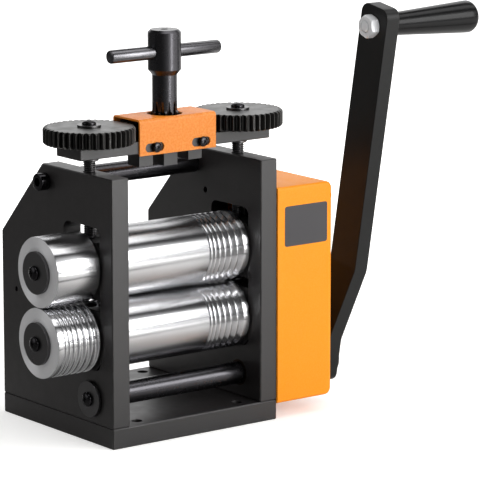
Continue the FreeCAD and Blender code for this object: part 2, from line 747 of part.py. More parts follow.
def make_grip_bolt(end):
    inner_face = crank_low_x + crank_joggle
    tip = inner_face - grip_nut_thickness - bolt_overhang
    head_start = end - grip_counterbore + 0.2
    shank = rod_x(m6, tip, head_start, 0, crank_length)
    head = rod_x(grip_bolt_head, head_start, end - grip_bolt_recess, 0, crank_length)
    save("grip_bolt", turn_to_crank(shank.fuse(head)))
    nut = hexagon(grip_nut_size).extrude(Vector(0, 0, grip_nut_thickness))
    nut = nut.cut(Part.makeCylinder(tapped(m6) / 2, grip_nut_thickness))
    nut.rotate(Vector(0, 0, 0), z_axis, grip_nut_angle)
    nut = lay_along_x(nut, inner_face - grip_nut_thickness, 0, crank_length)
    save("grip_nut", turn_to_crank(nut))


# ---- Gear cover -----------------------------------------------------------------------------------
# Box open towards the side plate, grown inwards by a sheet's thickness for its inside.
def cover_block(inset):
    x1 = cover_outer_x - inset
    block = box(plate_outer_x, x1, cover_front_y + inset, cover_back_y - inset,
                cover_bottom_z + inset, cover_top_z - inset)
    long_bends = [edge for edge in block.Edges if abs(edge.tangentAt(0).y) > 0.9
                  and edge.CenterOfMass.x > x1 - 1]
    block = block.makeFillet(cover_bend - inset, long_bends)
    return block


def make_gear_cover():
    cover = cover_block(0).cut(cover_block(cover_sheet))
    inner_face = cover_outer_x - cover_sheet
    hole = rod_x(cover_shaft_hole, inner_face - 1, cover_outer_x + 1, drive_shaft_y, drive_shaft_z)
    cover = cover.cut(hole)
    for y, z in standoff_places:
        cover = cover.cut(rod_x(clear(m3), inner_face - 1, cover_outer_x + 1, y, z))
    save("gear_cover", cover)
    standoffs = []
    screws = []
    for y, z in standoff_places:
        post = rod_x(standoff_diameter, plate_outer_x, inner_face, y, z)
        standoffs.append(post.cut(rod_x(clear(m3), plate_outer_x - 1, inner_face + 1, y, z)))
        screw = pan_screw(cover_screw_head, m3, cover_outer_x - plate_outer_x + cover_screw_grip)
        screws.append(aim(screw, x_axis, Vector(cover_outer_x, y, z)))
    save("cover_standoffs", Part.makeCompound(standoffs))
    save("gear_cover_screws", Part.makeCompound(screws))


# ---- Adjusting yoke -------------------------------------------------------------------------------
def make_bridge_bar():
    half = bar_width / 2
    bar = chamfered_box(-bar_length / 2, bar_length / 2, roll_y - half, roll_y + half,
                        bar_bottom_z, bar_top_z, bar_edge_break)
    low, high = bar_bottom_z - 1, bar_top_z + 1
    for x in (-adjusting_x, adjusting_x):
        bar = bar.cut(rod_z(screw_journal_diameter + 2 * turn_play, low, high, x, roll_y))
    for x in (-idler_x, 0, idler_x):
        bar = bar.cut(rod_z(stud_pin_diameter + 2 * stud_fit, low, high, x, roll_y))
    hole_diameter = tapped(top_cover_screw_diameter)
    for slot_x in (-top_cover_slot_x, top_cover_slot_x):
        x = slot_x + top_cover_screw_shift
        front_y = roll_y - half + top_cover_screw_length
        back_y = roll_y + half - top_cover_screw_length
        bar = bar.cut(rod_y(hole_diameter, roll_y - half - 1, front_y, x, top_cover_slot_z))
        bar = bar.cut(rod_y(hole_diameter, back_y, roll_y + half + 1, x, top_cover_slot_z))
    save("bridge_bar", bar)


# Studs stand in the bar on block heads and carry the idler gears and the handle spindle. The top
# cover keeps the idler gears on them.
def make_gear_studs():
    studs = []
    half_x = stud_head_width / 2
    half_y = stud_head_depth / 2
    places = ((-idler_x, idler_stud_rise), (0, spindle_stud_rise), (idler_x, idler_stud_rise))
    for (x, rise), height in zip(places, stud_head_heights):
        head = box(x - half_x, x + half_x, roll_y - half_y, roll_y + half_y,
                   bar_bottom_z - height, bar_bottom_z)
        studs.append(head.fuse(rod_z(stud_pin_diameter, bar_bottom_z, gear_top_z + rise, x, roll_y)))
    save("gear_studs", Part.makeCompound(studs))


def channel(inset, bottom_z):
    half_length = top_cover_length / 2
    half = bar_width / 2 + top_cover_sheet - inset
    top = top_cover_top_z - inset
    block = box(-half_length, half_length, roll_y - half, roll_y + half, bottom_z, top)
    bends = [edge for edge in block.Edges if abs(edge.tangentAt(0).x) > 0.9
             and edge.CenterOfMass.z > top - 1]
    return block.makeFillet(top_cover_bend - inset, bends)


def slot_cutter(x):
    half = (top_cover_slot_length - top_cover_slot_width) / 2
    front, back = roll_y - bar_width, roll_y + bar_width
    slot = rod_y(top_cover_slot_width, front, back, x - half, top_cover_slot_z)
    slot = slot.fuse(rod_y(top_cover_slot_width, front, back, x + half, top_cover_slot_z))
    return slot.fuse(box(x - half, x + half, front, back,
                         top_cover_slot_z - top_cover_slot_width / 2,
                         top_cover_slot_z + top_cover_slot_width / 2))


def make_top_cover():
    cover = channel(0, top_cover_bottom_z).cut(channel(top_cover_sheet, top_cover_bottom_z - 1))
    cover = cover.cut(rod_z(top_cover_hole, top_cover_top_z - 5, top_cover_top_z + 1, 0, roll_y))
    screws = []
    for x in (-top_cover_slot_x, top_cover_slot_x):
        cover = cover.cut(slot_cutter(x))
        for side in (-1, 1):
            face_y = roll_y + side * (bar_width / 2 + top_cover_sheet)
            screw = pan_screw(top_cover_screw_head, top_cover_screw_diameter, top_cover_screw_length)
            at = Vector(x + top_cover_screw_shift, face_y, top_cover_slot_z)
            screws.append(aim(screw, y_axis * side, at))
    save("top_cover", cover)
    save("top_cover_screws", Part.makeCompound(screws))


# D-shaped seat that a gear sits on, or the hole for it.
def gear_seat(x, z0, z1, play):
    seat = rod_z(gear_seat_diameter + 2 * play, z0, z1, x, roll_y)
    flat = roll_y + gear_seat_flat + play
    return seat.cut(box(x - gear_seat_diameter, x + gear_seat_diameter, flat, roll_y + gear_seat_diameter,
                        z0 - 1, z1 + 1))


def make_adjusting_side(name, side):
    x = side * adjusting_x
    collar_top = bar_bottom_z - turn_play
    collar_bottom = collar_top - screw_collar_height
    thread = rod_z(m6, upper_block_top_z + tip_gap, collar_bottom, x, roll_y)
    collar = rod_z(screw_collar_diameter, collar_bottom, collar_top, x, roll_y)
    journal = rod_z(screw_journal_diameter, collar_top, gear_bottom_z, x, roll_y)
    screw = thread.fuse([collar, journal, gear_seat(x, gear_bottom_z, gear_top_z - gear_lift, 0)])
    screw = screw.cut(rod_z(tapped(m3), gear_top_z - gear_screw_length - 1, gear_top_z, x, roll_y))
    save(name + "_adjusting_screw", screw)
    towards_middle = 180 if side > 0 else 0
    tooth_angle = towards_middle + 180 / adjusting_teeth
    wheel = gear(adjusting_teeth, adjusting_module, gear_pressure_angle, tooth_angle, adjusting_gear_width)
    wheel = chamfer_teeth(wheel, adjusting_teeth, adjusting_module, tooth_angle, adjusting_gear_width,
                          adjusting_gear_chamfer)
    wheel.translate(Vector(x, roll_y, gear_bottom_z))
    seat_hole = gear_seat(x, gear_bottom_z - 1, gear_top_z + 1, gear_seat_play)
    save(name + "_adjusting_gear", wheel.cut(seat_hole))
    washer = flat_washer(gear_washer_diameter, m3, gear_washer_height)
    washer.translate(Vector(x, roll_y, gear_top_z))
    save(name + "_gear_washer", washer)
    gear_screw = pan_screw(gear_screw_head, m3, gear_screw_length - gear_washer_height)
    gear_screw.translate(Vector(x, roll_y, gear_top_z + gear_washer_height))
    save(name + "_gear_screw", gear_screw)


def make_idler(name, side):
    x = side * idler_x
    towards_spindle = 180 if side > 0 else 0
    wheel = gear(idler_teeth, adjusting_module, gear_pressure_angle,
                 towards_spindle + 180 / idler_teeth, adjusting_gear_width)
    wheel.translate(Vector(x, roll_y, gear_bottom_z))
    bore = rod_z(stud_pin_diameter + 2 * turn_play, gear_bottom_z - 1, gear_top_z + 1, x, roll_y)
    save(name + "_idler_gear", wheel.cut(bore))


# Outline of one gap between two teeth of the spindle, moved outwards by shift.
def gap_outline(shift, z):
    flank = tooth_flank(spindle_teeth, adjusting_module, gear_pressure_angle)
    half_pitch = math.pi / spindle_teeth
    side = [(radius * math.cos(half_pitch - half), radius * math.sin(half_pitch - half))
            for radius, half in flank]
    tip_x, tip_y = side[-1]
    side.append((tip_x + 1, tip_y + 0.5))
    corners = [Vector(x + shift, y, z) for x, y in side]
    corners += [Vector(x + shift, -y, z) for x, y in reversed(side)]
    return Part.makePolygon(corners + corners[:1])


# T handle spindle with the pinion cut into its lower end, where the cutter runs out upwards.
def make_handle():
    neck = spindle_neck_diameter / 2
    tip = spindle_tip_diameter / 2
    head = spindle_head_diameter / 2
    blank = turned_z([(0, gear_bottom_z), (tip, gear_bottom_z), (tip, spindle_shoulder_z),
                      (neck, spindle_shoulder_z + spindle_shoulder_height),
                      (neck, spindle_neck_end_z), (head, spindle_head_bottom_z),
                      (head, spindle_top_z - spindle_top_chamfer),
                      (head - spindle_top_chamfer, spindle_top_z), (0, spindle_top_z)])
    run_out = neck - adjusting_module * (spindle_teeth - 2.5) / 2
    low = gap_outline(0, gear_bottom_z - 1)
    middle = gap_outline(0, teeth_full_depth_z)
    high = gap_outline(run_out, teeth_end_z)
    gap = Part.makeLoft([low, middle], True, True).fuse(Part.makeLoft([middle, high], True, True))
    gaps = []
    for tooth in range(spindle_teeth):
        cutter = gap.copy()
        cutter.rotate(Vector(0, 0, 0), z_axis, 360 * (tooth + 0.5) / spindle_teeth)
        gaps.append(cutter)
    spindle = blank.cut(gaps)
    stud_hole_top = gear_top_z + spindle_stud_rise + 0.5
    spindle = spindle.cut(rod_z(stud_pin_diameter + 2 * turn_play, gear_bottom_z - 1, stud_hole_top, 0, 0))
    centre_bottom = spindle_top_z - spindle_centre_depth
    spindle = spindle.cut(rod_z(spindle_centre_hole, centre_bottom, spindle_top_z + 1, 0, 0))
    spindle.translate(Vector(0, roll_y, 0))
    bar_hole = rod_x(handle_bar_diameter + 2 * handle_bar_fit,
                     -spindle_head_diameter, spindle_head_diameter, roll_y, handle_bar_z)
    save("handle_spindle", spindle.cut(bar_hole))
    save("handle_bar", rod_x(handle_bar_diameter, -handle_bar_length / 2, handle_bar_length / 2,
                             roll_y, handle_bar_z))


os.makedirs(parts_folder, exist_ok=True)
make_base_plate()
make_plate_screws()
make_side_plates()
make_tie_rod()
make_bearing_blocks()
make_springs()
make_upper_roll()
make_lower_roll()
make_shaft_bushes()
make_drive_shaft()
make_drive_pinion()
make_shaft_fasteners()
make_crank_arm()
make_grip()
make_gear_cover()
make_bridge_bar()
make_gear_studs()
make_top_cover()
make_adjusting_side("left", -1)
make_adjusting_side("right", 1)
make_idler("left", -1)
make_idler("right", 1)
make_handle()
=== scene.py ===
import math
import bmesh
import bpy
from mathutils import Matrix, Vector


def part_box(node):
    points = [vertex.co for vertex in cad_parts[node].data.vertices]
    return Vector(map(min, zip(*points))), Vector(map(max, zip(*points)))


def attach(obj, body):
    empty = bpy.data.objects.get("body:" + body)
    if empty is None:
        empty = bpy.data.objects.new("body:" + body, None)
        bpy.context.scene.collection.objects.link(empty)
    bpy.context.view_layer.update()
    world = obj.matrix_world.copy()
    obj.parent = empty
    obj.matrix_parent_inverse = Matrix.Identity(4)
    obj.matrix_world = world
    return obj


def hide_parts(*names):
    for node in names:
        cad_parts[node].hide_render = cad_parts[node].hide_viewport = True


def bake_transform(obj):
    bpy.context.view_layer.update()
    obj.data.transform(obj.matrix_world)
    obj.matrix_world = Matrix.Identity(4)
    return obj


# A jewellers' rolling mill. Its pieces are in millimetres; Blender, the camera and the studio in metres.
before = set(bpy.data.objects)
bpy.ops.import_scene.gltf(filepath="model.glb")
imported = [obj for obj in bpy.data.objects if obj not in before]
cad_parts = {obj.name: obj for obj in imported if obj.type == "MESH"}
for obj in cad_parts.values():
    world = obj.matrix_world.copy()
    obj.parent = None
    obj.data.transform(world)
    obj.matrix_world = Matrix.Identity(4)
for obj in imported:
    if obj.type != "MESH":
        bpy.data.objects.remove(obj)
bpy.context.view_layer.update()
mm = 0.001
weldReach = 2e-6  # points closer than this, in metres, are one point
nearly = 1e-6  # slack in metres when two places are compared
scene = bpy.context.scene

camera = {"place": (-0.89047, -1.25005, 0.39527), "azimuth": -37.31, "elevation": 11.32, "lens": 240.23,
          "sensor": 36, "near": 0.05, "far": 60}


def linked(name, data):
    item = bpy.data.objects.new(name, data)
    scene.collection.objects.link(item)
    return item


# Points an object's own Z axis along a direction, with its Y axis as upright as can be.
def turnTo(item, direction):
    item.rotation_mode = "QUATERNION"
    item.rotation_quaternion = direction.to_track_quat("Z", "Y")


# Direction seen from the mill, turned to the right from straight in front, at a height angle.
def directionAt(turn, rise):
    turn, rise = math.radians(turn), math.radians(rise)
    return Vector((math.sin(turn) * math.cos(rise), -math.cos(turn) * math.cos(rise), math.sin(rise)))


def makeCamera():
    data = bpy.data.cameras.new("camera")
    data.lens = camera["lens"]
    data.sensor_width = camera["sensor"]
    data.clip_start = camera["near"]
    data.clip_end = camera["far"]
    item = linked("camera", data)
    item.location = camera["place"]
    turnTo(item, directionAt(camera["azimuth"], camera["elevation"]))
    scene.camera = item


makeCamera()
print("camera placed")


def middleOf(node):
    low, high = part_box(node)
    return (low + high) / 2


# Places for pieces that come in sets, read from the separate solids of a CAD node.
def middlesOfSolids(node):
    bm = bmesh.new()
    bm.from_mesh(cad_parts[node].data)
    bmesh.ops.remove_doubles(bm, verts=bm.verts, dist=weldReach)
    left = set(bm.verts)
    middles = []
    while left:
        stack = [left.pop()]
        low = stack[0].co.copy()
        high = stack[0].co.copy()
        while stack:
            vert = stack.pop()
            low = Vector(map(min, low, vert.co))
            high = Vector(map(max, high, vert.co))
            for edge in vert.link_edges:
                other = edge.other_vert(vert)
                if other in left:
                    left.remove(other)
                    stack.append(other)
        middles.append(((low + high) / 2, low, high))
    bm.free()
    return sorted(middles, key=lambda item: tuple(round(v, 5) for v in item[0]))


# For each axis, the direction along it and one square to it.
axes = {"X": (Vector((1, 0, 0)), Vector((0, -1, 0))), "Z": (Vector((0, 0, 1)), Vector((1, 0, 0)))}


# Turns an outline of (distance along the axis, radius) about an axis through the origin.
def spun(outline, axis, steps, closed=False):
    along, side = axes[axis]
    bm = bmesh.new()
    verts = [bm.verts.new((along * a + side * r) * mm) for a, r in outline]
    edges = [bm.edges.new(pair) for pair in zip(verts, verts[1:])]
    if closed:
        edges.append(bm.edges.new((verts[-1], verts[0])))
    bmesh.ops.spin(bm, geom=verts + edges, cent=(0, 0, 0), axis=along, dvec=(0, 0, 0),
                   angle=2 * math.pi, steps=steps, use_merge=True, use_duplicate=False)
    bmesh.ops.remove_doubles(bm, verts=bm.verts, dist=nearly)
    bmesh.ops.recalc_face_normals(bm, faces=bm.faces)
    return bm


# Points of an arc in an outline, from one angle to another in degrees.
def arc(along, radius, size, start, end, steps):
    angles = [math.radians(start + (end - start) * i / steps) for i in range(steps + 1)]
    return [(along + size * math.cos(a), radius + size * math.sin(a)) for a in angles]


def moved(bm, place):
    bmesh.ops.translate(bm, verts=bm.verts, vec=place)
    return bm


def turned(bm, degrees, axis):
    matrix = Matrix.Rotation(math.radians(degrees), 3, axis)
    bmesh.ops.rotate(bm, cent=(0, 0, 0), matrix=matrix, verts=bm.verts)
    return bm


# Stands a shape made along +Z at a point, pointing along another direction.
def aimed(bm, direction, place):
    turn = Vector((0, 0, 1)).rotation_difference(Vector(direction)).to_matrix().to_4x4()
    bmesh.ops.transform(bm, matrix=Matrix.Translation(place) @ turn, verts=bm.verts)
    return bm


# A closed prism round the Z axis with its middle at the origin; with many sides it is a rod.
def prism(sides, radius, length):
    bm = bmesh.new()
    bmesh.ops.create_cone(bm, cap_ends=True, segments=sides, radius1=radius * mm, radius2=radius * mm,
                          depth=length * mm)
    return bm


def boxMesh(low, high):
    low, high = Vector(low), Vector(high)
    bm = bmesh.new()
    matrix = Matrix.Translation((low + high) / 2) @ Matrix.Diagonal((*(high - low), 1))
    bmesh.ops.create_cube(bm, size=1, matrix=matrix)
    return bm


def rounded(bm, edges, size, segments):
    bmesh.ops.bevel(bm, geom=edges, offset=size * mm, offset_type="OFFSET", affect="EDGES",
                    segments=segments, profile=0.5, material=-1)


def joined(parts):
    whole = bmesh.new()
    for part in parts:
        mesh = bpy.data.meshes.new("part")
        part.to_mesh(mesh)
        part.free()
        whole.from_mesh(mesh)
        bpy.data.meshes.remove(mesh)
    return whole


def meshObject(name, bm):
    mesh = bpy.data.meshes.new(name)
    bm.to_mesh(mesh)
    bm.free()
    return linked(name, mesh)


# Cuts one closed shape out of another and gives the result back as a bmesh.
def cutAway(bm, cutter):
    body = meshObject("temp", bm)
    tool = meshObject("temp", cutter)
    cut = body.modifiers.new("cut", "BOOLEAN")
    cut.object = tool
    cut.operation = "DIFFERENCE"
    cut.solver = "EXACT"
    result = bmesh.new()
    depsgraph = bpy.context.evaluated_depsgraph_get()
    result.from_mesh(bpy.data.meshes.new_from_object(body.evaluated_get(depsgraph)))
    for item in (body, tool):
        bpy.data.objects.remove(item)
    return result


# Degrees from which an edge is shaded sharp or is broken, and up to which triangles are one flat; steps
# across a broken edge.
shading = {"sharp": 32, "broken": 30, "flat": 0.4, "segments": 2}


def allSmooth(mesh):
    mesh.polygons.foreach_set("use_smooth", [True] * len(mesh.polygons))


def soften(piece, width):
    bevel = piece.modifiers.new("soften", "BEVEL")
    bevel.width = width * mm
    bevel.segments = shading["segments"]
    bevel.limit_method = "ANGLE"
    bevel.angle_limit = math.radians(shading["broken"])
    bevel.harden_normals = True
    bevel.miter_outer = "MITER_ARC"


def makePiece(name, bm, body, material, replaces=(), edge=0.0):
    piece = meshObject(name, bm)
    piece.data.materials.append(material)
    allSmooth(piece.data)
    if edge:
        soften(piece, edge)
    else:
        piece.data.set_sharp_from_angle(angle=math.radians(shading["sharp"]))
    if body:  # the springs have none
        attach(piece, body)
    if replaces:
        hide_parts(*replaces)
    return piece


# Finishes CAD nodes: triangles are welded, flats made whole and edges broken.
def dress(material, edge, *nodes):
    for node in nodes:
        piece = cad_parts[node]
        mesh = piece.data
        mesh.materials.clear()
        mesh.materials.append(material)
        for name in ("custom_normal", "sharp_edge", "sharp_face"):
            if name in mesh.attributes:
                mesh.attributes.remove(mesh.attributes[name])
        allSmooth(mesh)
        weld = piece.modifiers.new("weld", "WELD")
        weld.merge_threshold = weldReach
        flats = piece.modifiers.new("flats", "DECIMATE")
        flats.decimate_type = "DISSOLVE"
        flats.angle_limit = math.radians(shading["flat"])
        soften(piece, edge)


def linear(hexCode):
    channels = [int(hexCode[i:i + 2], 16) / 255 for i in (1, 3, 5)]
    values = [c / 12.92 if c <= 0.04045 else ((c + 0.055) / 1.055) ** 2.4 for c in channels]
    return (*values, 1.0)


def dimmed(colour, share):
    return tuple(c * share for c in colour[:3]) + (1.0,)


# Adds a node. Settings are its own properties or its inputs; links are other nodes or their outputs.
def addNode(tree, kind, settings=None, links=None):
    node = tree.nodes.new(kind)
    for key, value in (settings or {}).items():
        if isinstance(key, str) and hasattr(node, key):
            setattr(node, key, value)
        else:
            node.inputs[key].default_value = value
    for key, source in (links or {}).items():
        if isinstance(source, bpy.types.Node):
            source = source.outputs[0]
        tree.links.new(source, node.inputs[key])
    return node


def newMaterial(name):
    material = bpy.data.materials.new(name)
    material.use_nodes = True
    tree = material.node_tree
    tree.nodes.clear()
    shader = addNode(tree, "ShaderNodeBsdfPrincipled")
    addNode(tree, "ShaderNodeOutputMaterial", links={"Surface": shader})
    return material, tree, shader


times, plus = {"operation": "MULTIPLY"}, {"operation": "ADD"}
noiseSpan = {"From Min": 0.3, "From Max": 0.7}  # nearly all that a noise gives lies between these
# Worn edges: how well a rounded normal agrees with the face on a flat and at a corner, and the bare patches.
worn = {"flat": 0.995, "corner": 0.90, "samples": 4, "patch": 3.5, "patchFrom": 0.42, "patchTo": 0.62}


# Soft mask of the worn edges, 1 on an edge and 0 on a flat, broken up by noise.
def edgeMask(tree, coords, radius, share):
    bevel = addNode(tree, "ShaderNodeBevel", {"samples": worn["samples"], "Radius": radius * mm})
    face = addNode(tree, "ShaderNodeNewGeometry").outputs["Normal"]
    bend = addNode(tree, "ShaderNodeVectorMath", {"operation": "DOT_PRODUCT"}, {0: bevel, 1: face})
    near = addNode(tree, "ShaderNodeMapRange", {"From Min": worn["flat"], "From Max": worn["corner"]},
                   {"Value": bend.outputs["Value"]})
    patches = addNode(tree, "ShaderNodeTexNoise", {"Scale": 1 / (worn["patch"] * mm), "Detail": 3.0},
                      {"Vector": coords})
    patchy = addNode(tree, "ShaderNodeMapRange", {"From Min": worn["patchFrom"], "From Max": worn["patchTo"],
                                                  "To Max": share}, {"Value": patches})
    return addNode(tree, "ShaderNodeMath", times, {0: near, 1: patchy})


# Sizes of blotches and smears, and the noise values over which the bump's high spots get a painted
# highlight.
coat = {"blotch": 22, "smear": 6, "peakHighlightFrom": 0.42, "peakHighlightTo": 0.66}


# Paint or plating on a body: a base colour with soft blotches, grain in the bump and bare edges; where a
# share is given, the bump's high spots get a painted highlight in the bare colour. Roughness varies by its
# spread;
# grain is the size and height the depth of the bump.
def coated(name, hexCode, bareAndHighlightHex, roughness, spread, grain, height, wear, metallic=0.0, edge=0.35,
           blotch=0.12, specular=0.5, peakHighlight=0.0):
    material, tree, shader = newMaterial(name)
    coords = addNode(tree, "ShaderNodeTexCoord").outputs["Object"]
    base, bareAndHighlight = linear(hexCode), linear(bareAndHighlightHex)
    blotches = addNode(tree, "ShaderNodeTexNoise", {"Scale": 1 / (coat["blotch"] * mm), "Detail": 4.0},
                       {"Vector": coords})
    colour = addNode(tree, "ShaderNodeMix", {"data_type": "RGBA", 6: dimmed(base, 1 - blotch), 7: base},
                     {0: blotches})
    colour = addNode(tree, "ShaderNodeMix", {"data_type": "RGBA", 7: bareAndHighlight},
                     {0: edgeMask(tree, coords, edge, wear), 6: colour.outputs[2]})
    fine = addNode(tree, "ShaderNodeTexNoise", {"Scale": 1 / (grain * mm), "Detail": 3.0, "Roughness": 0.6},
                   {"Vector": coords})
    # The bump's high spots are painted towards the bare colour: a painted highlight on the peel.
    if peakHighlight:
        peakHighlights = addNode(tree, "ShaderNodeMapRange", {"From Min": coat["peakHighlightFrom"], "To Max": peakHighlight,
                                                        "From Max": coat["peakHighlightTo"]}, {"Value": fine})
        colour = addNode(tree, "ShaderNodeMix", {"data_type": "RGBA", 7: bareAndHighlight},
                         {0: peakHighlights, 6: colour.outputs[2]})
    tree.links.new(colour.outputs[2], shader.inputs["Base Color"])
    smears = addNode(tree, "ShaderNodeTexNoise", {"Scale": 1 / (coat["smear"] * mm), "Detail": 4.0},
                     {"Vector": coords})
    rough = addNode(tree, "ShaderNodeMapRange", {**noiseSpan, "To Min": roughness - spread,
                                                 "To Max": roughness + spread}, {"Value": smears})
    tree.links.new(rough.outputs[0], shader.inputs["Roughness"])
    bump = addNode(tree, "ShaderNodeBump", {"Strength": 1.0, "Distance": height * mm}, {"Height": fine})
    tree.links.new(bump.outputs[0], shader.inputs["Normal"])
    shader.inputs["Metallic"].default_value = metallic
    shader.inputs["Specular IOR Level"].default_value = specular
    return material


# Colours, how highlights stretch, the sizes of the marks, and the finish round the roll and on its ends.
steel = {"colour": "#dadadc", "darker": 0.93, "stretch": 1.0, "rotation": 0.25, "ring": 0.35,
         "height": 0.0003, "broad": 5, "smear": 9, "smearLow": -0.008, "smearHigh": 0.012,
         "endFrom": 0.8, "endTo": 0.95, "round": 0.21, "ends": 0.5, "endMetal": 0.55}


# Ground steel, turned about an axis along X: the marks run round the roll and round its end faces,
# so highlights stretch across them, as even bands along the roll. The faced ends are duller and paler.
def groundSteel(name, axisZ):
    material, tree, shader = newMaterial(name)
    coords = addNode(tree, "ShaderNodeTexCoord").outputs
    place = addNode(tree, "ShaderNodeVectorMath", {"operation": "SUBTRACT", 1: (0, rollY, axisZ)},
                    {0: coords["Object"]})
    parts = addNode(tree, "ShaderNodeSeparateXYZ", links={0: place}).outputs
    flat = addNode(tree, "ShaderNodeCombineXYZ", links={1: parts[1], 2: parts[2]})
    around = addNode(tree, "ShaderNodeVectorMath", {"operation": "CROSS_PRODUCT", 0: (1, 0, 0)}, {1: flat})
    marks = addNode(tree, "ShaderNodeVectorTransform", {"vector_type": "VECTOR", "convert_from": "OBJECT",
                                                        "convert_to": "WORLD"}, {0: around})
    tree.links.new(marks.outputs[0], shader.inputs["Tangent"])
    shader.inputs["Anisotropic"].default_value = steel["stretch"]
    shader.inputs["Anisotropic Rotation"].default_value = steel["rotation"]
    radius = addNode(tree, "ShaderNodeVectorMath", {"operation": "LENGTH"}, {0: flat}).outputs["Value"]
    along = addNode(tree, "ShaderNodeMath", plus, {0: parts[0], 1: radius})
    broad = addNode(tree, "ShaderNodeTexNoise", {"noise_dimensions": "1D", "Detail": 2.0,
                                                 "Scale": 1 / (steel["broad"] * mm)}, {"W": along})
    base = linear(steel["colour"])
    colour = addNode(tree, "ShaderNodeMix", {"data_type": "RGBA", 6: dimmed(base, steel["darker"]), 7: base},
                     {0: broad})
    tree.links.new(colour.outputs[2], shader.inputs["Base Color"])
    rings = addNode(tree, "ShaderNodeTexNoise", {"noise_dimensions": "1D", "Detail": 3.0,
                                                 "Scale": 1 / (steel["ring"] * mm)}, {"W": along})
    bump = addNode(tree, "ShaderNodeBump", {"Strength": 1.0, "Distance": steel["height"] * mm},
                   {"Height": rings})
    tree.links.new(bump.outputs[0], shader.inputs["Normal"])
    facing = addNode(tree, "ShaderNodeSeparateXYZ", links={0: coords["Normal"]})
    square = addNode(tree, "ShaderNodeMath", times, {0: facing, 1: facing})
    smears = addNode(tree, "ShaderNodeTexNoise", {"Scale": 1 / (steel["smear"] * mm), "Detail": 4.0},
                     {"Vector": coords["Object"]})
    uneven = addNode(tree, "ShaderNodeMapRange", {**noiseSpan, "To Min": steel["smearLow"],
                                                  "To Max": steel["smearHigh"]}, {"Value": smears})
    ends = {"From Min": steel["endFrom"], "From Max": steel["endTo"]}
    finish = addNode(tree, "ShaderNodeMapRange", {**ends, "To Min": steel["round"], "To Max": steel["ends"]},
                     {"Value": square})
    rough = addNode(tree, "ShaderNodeMath", plus, {0: uneven, 1: finish})
    tree.links.new(rough.outputs[0], shader.inputs["Roughness"])
    metal = addNode(tree, "ShaderNodeMapRange", {**ends, "To Min": 1.0, "To Max": steel["endMetal"]},
                    {"Value": square})
    tree.links.new(metal.outputs[0], shader.inputs["Metallic"])
    return material


rollY = middleOf("upper_roll").y
upperZ = middleOf("upper_roll").z

# Black oxide on milled plate: near black, with a soft wide sheen where it faces the light.
blackPlate = coated("blackOxidePlate", "#141011", "#6d6b69", roughness=0.43, spread=0.04, grain=0.5,
                    height=0.012, wear=0.4, specular=0.85)
# Sprayed paint on bent bar: a deeper black with less sheen.
crankPaint = coated("satinBlackCrankPaint", "#101010", "#353332", roughness=0.42, spread=0.04, grain=0.6,
                    height=0.010, wear=0.25, specular=0.3)
# Powder coat on bent sheet: saturated orange with the fine orange peel of baked powder, and a faint
# painted highlight on the peel's high spots.
powderCoat = coated("orangePowderCoat", "#fa950c", "#ffb45a", roughness=0.42, spread=0.05, grain=0.7,
                    height=0.06, wear=0.35, blotch=0.05, specular=0.25, peakHighlight=0.12)
# Heavier coat on the small cover: coarser, with a painted highlight on its high spots.
roughCoat = coated("orangeTexturedCoat", "#e07c14", "#ffb05c", roughness=0.40, spread=0.05, grain=1.1,
                   height=0.16, wear=0.35, blotch=0.06, specular=0.4, peakHighlight=0.35)
# Black oxide on cut gears: dark, slightly oily, with brighter edges where the tool marks show.
blackOxide = coated("blackOxideSteel", "#444342", "#8a8884", roughness=0.34, spread=0.05, grain=0.25,
                    height=0.006, metallic=1.0, wear=0.5, edge=0.25)
# Black oxide on screws: darker and smoother, so only the edges of the recess catch light.
screwOxide = coated("blackOxideScrews", "#39383a", "#77767a", roughness=0.2, spread=0.02, grain=0.3,
                    height=0.002, metallic=1.0, wear=0.35, edge=0.12)
# Black oxide on washers and adjusting screws: greyer, so it carries a soft streak.
oiledOxide = coated("oiledBlackOxide", "#6c6b6c", "#9a9896", roughness=0.30, spread=0.03, grain=0.3,
                    height=0.003, metallic=1.0, wear=0.3, edge=0.2)
# Black oxide on turned shafts: a cleaner surface with a long bright line.
turnedOxide = coated("turnedBlackOxide", "#4e4d50", "#858483", roughness=0.27, spread=0.01, grain=0.4,
                     height=0.001, metallic=1.0, wear=0.15, edge=0.2, blotch=0.04)
# The same finish on drawn bar: greyer, because the bar is smoother.
drawnOxide = coated("drawnBlackOxide", "#68676a", "#959493", roughness=0.27, spread=0.01, grain=0.4,
                    height=0.001, metallic=1.0, wear=0.15, edge=0.2, blotch=0.04)
# Machined grey iron of the bearing blocks: dull and dark.
bearingIron = coated("machinedGreyIron", "#242323", "#5a5856", roughness=0.5, spread=0.06, grain=0.4,
                     height=0.012, metallic=0.6, wear=0.4)
# Dull zinc plating on the nut, bolt and spacers: pale, faintly cloudy.
zincPlate = coated("dullZincPlate", "#e6e7e9", "#f6f6f6", roughness=0.36, spread=0.05, grain=0.4,
                   height=0.004, metallic=0.4, wear=0.3)
# Drawn spring wire: grey steel with a soft shine.
springWire = coated("drawnSpringWire", "#8e8f92", "#c8c8c8", roughness=0.3, spread=0.05, grain=0.3,
                    height=0.004, metallic=1.0, wear=0.2)
# Turned bronze of the bushes, browned by oil: dark, warm and dull.
bushBronze = coated("oiledBronze", "#3b2f25", "#8d6a3c", roughness=0.42, spread=0.06, grain=0.4,
                    height=0.005, metallic=1.0, wear=0.3)
# Moulded phenolic grip: glossy black with a faint flow texture.
gripPlastic = coated("mouldedBlackPlastic", "#0b0b0c", "#181818", roughness=0.22, spread=0.02, grain=1.2,
                     height=0.003, wear=0.2, specular=0.22)
# Printed film of the bare label: dark grey, smooth, slightly glossy.
labelFilm = coated("darkLabelFilm", "#3b393c", "#6b6a6c", roughness=0.34, spread=0.03, grain=0.7,
                   height=0.004, wear=0.3)
# Hardened roll steel, ground and polished.
upperSteel = groundSteel("groundUpperRollSteel", upperZ)
lowerSteel = groundSteel("groundLowerRollSteel", middleOf("lower_roll").z)
print("materials made")

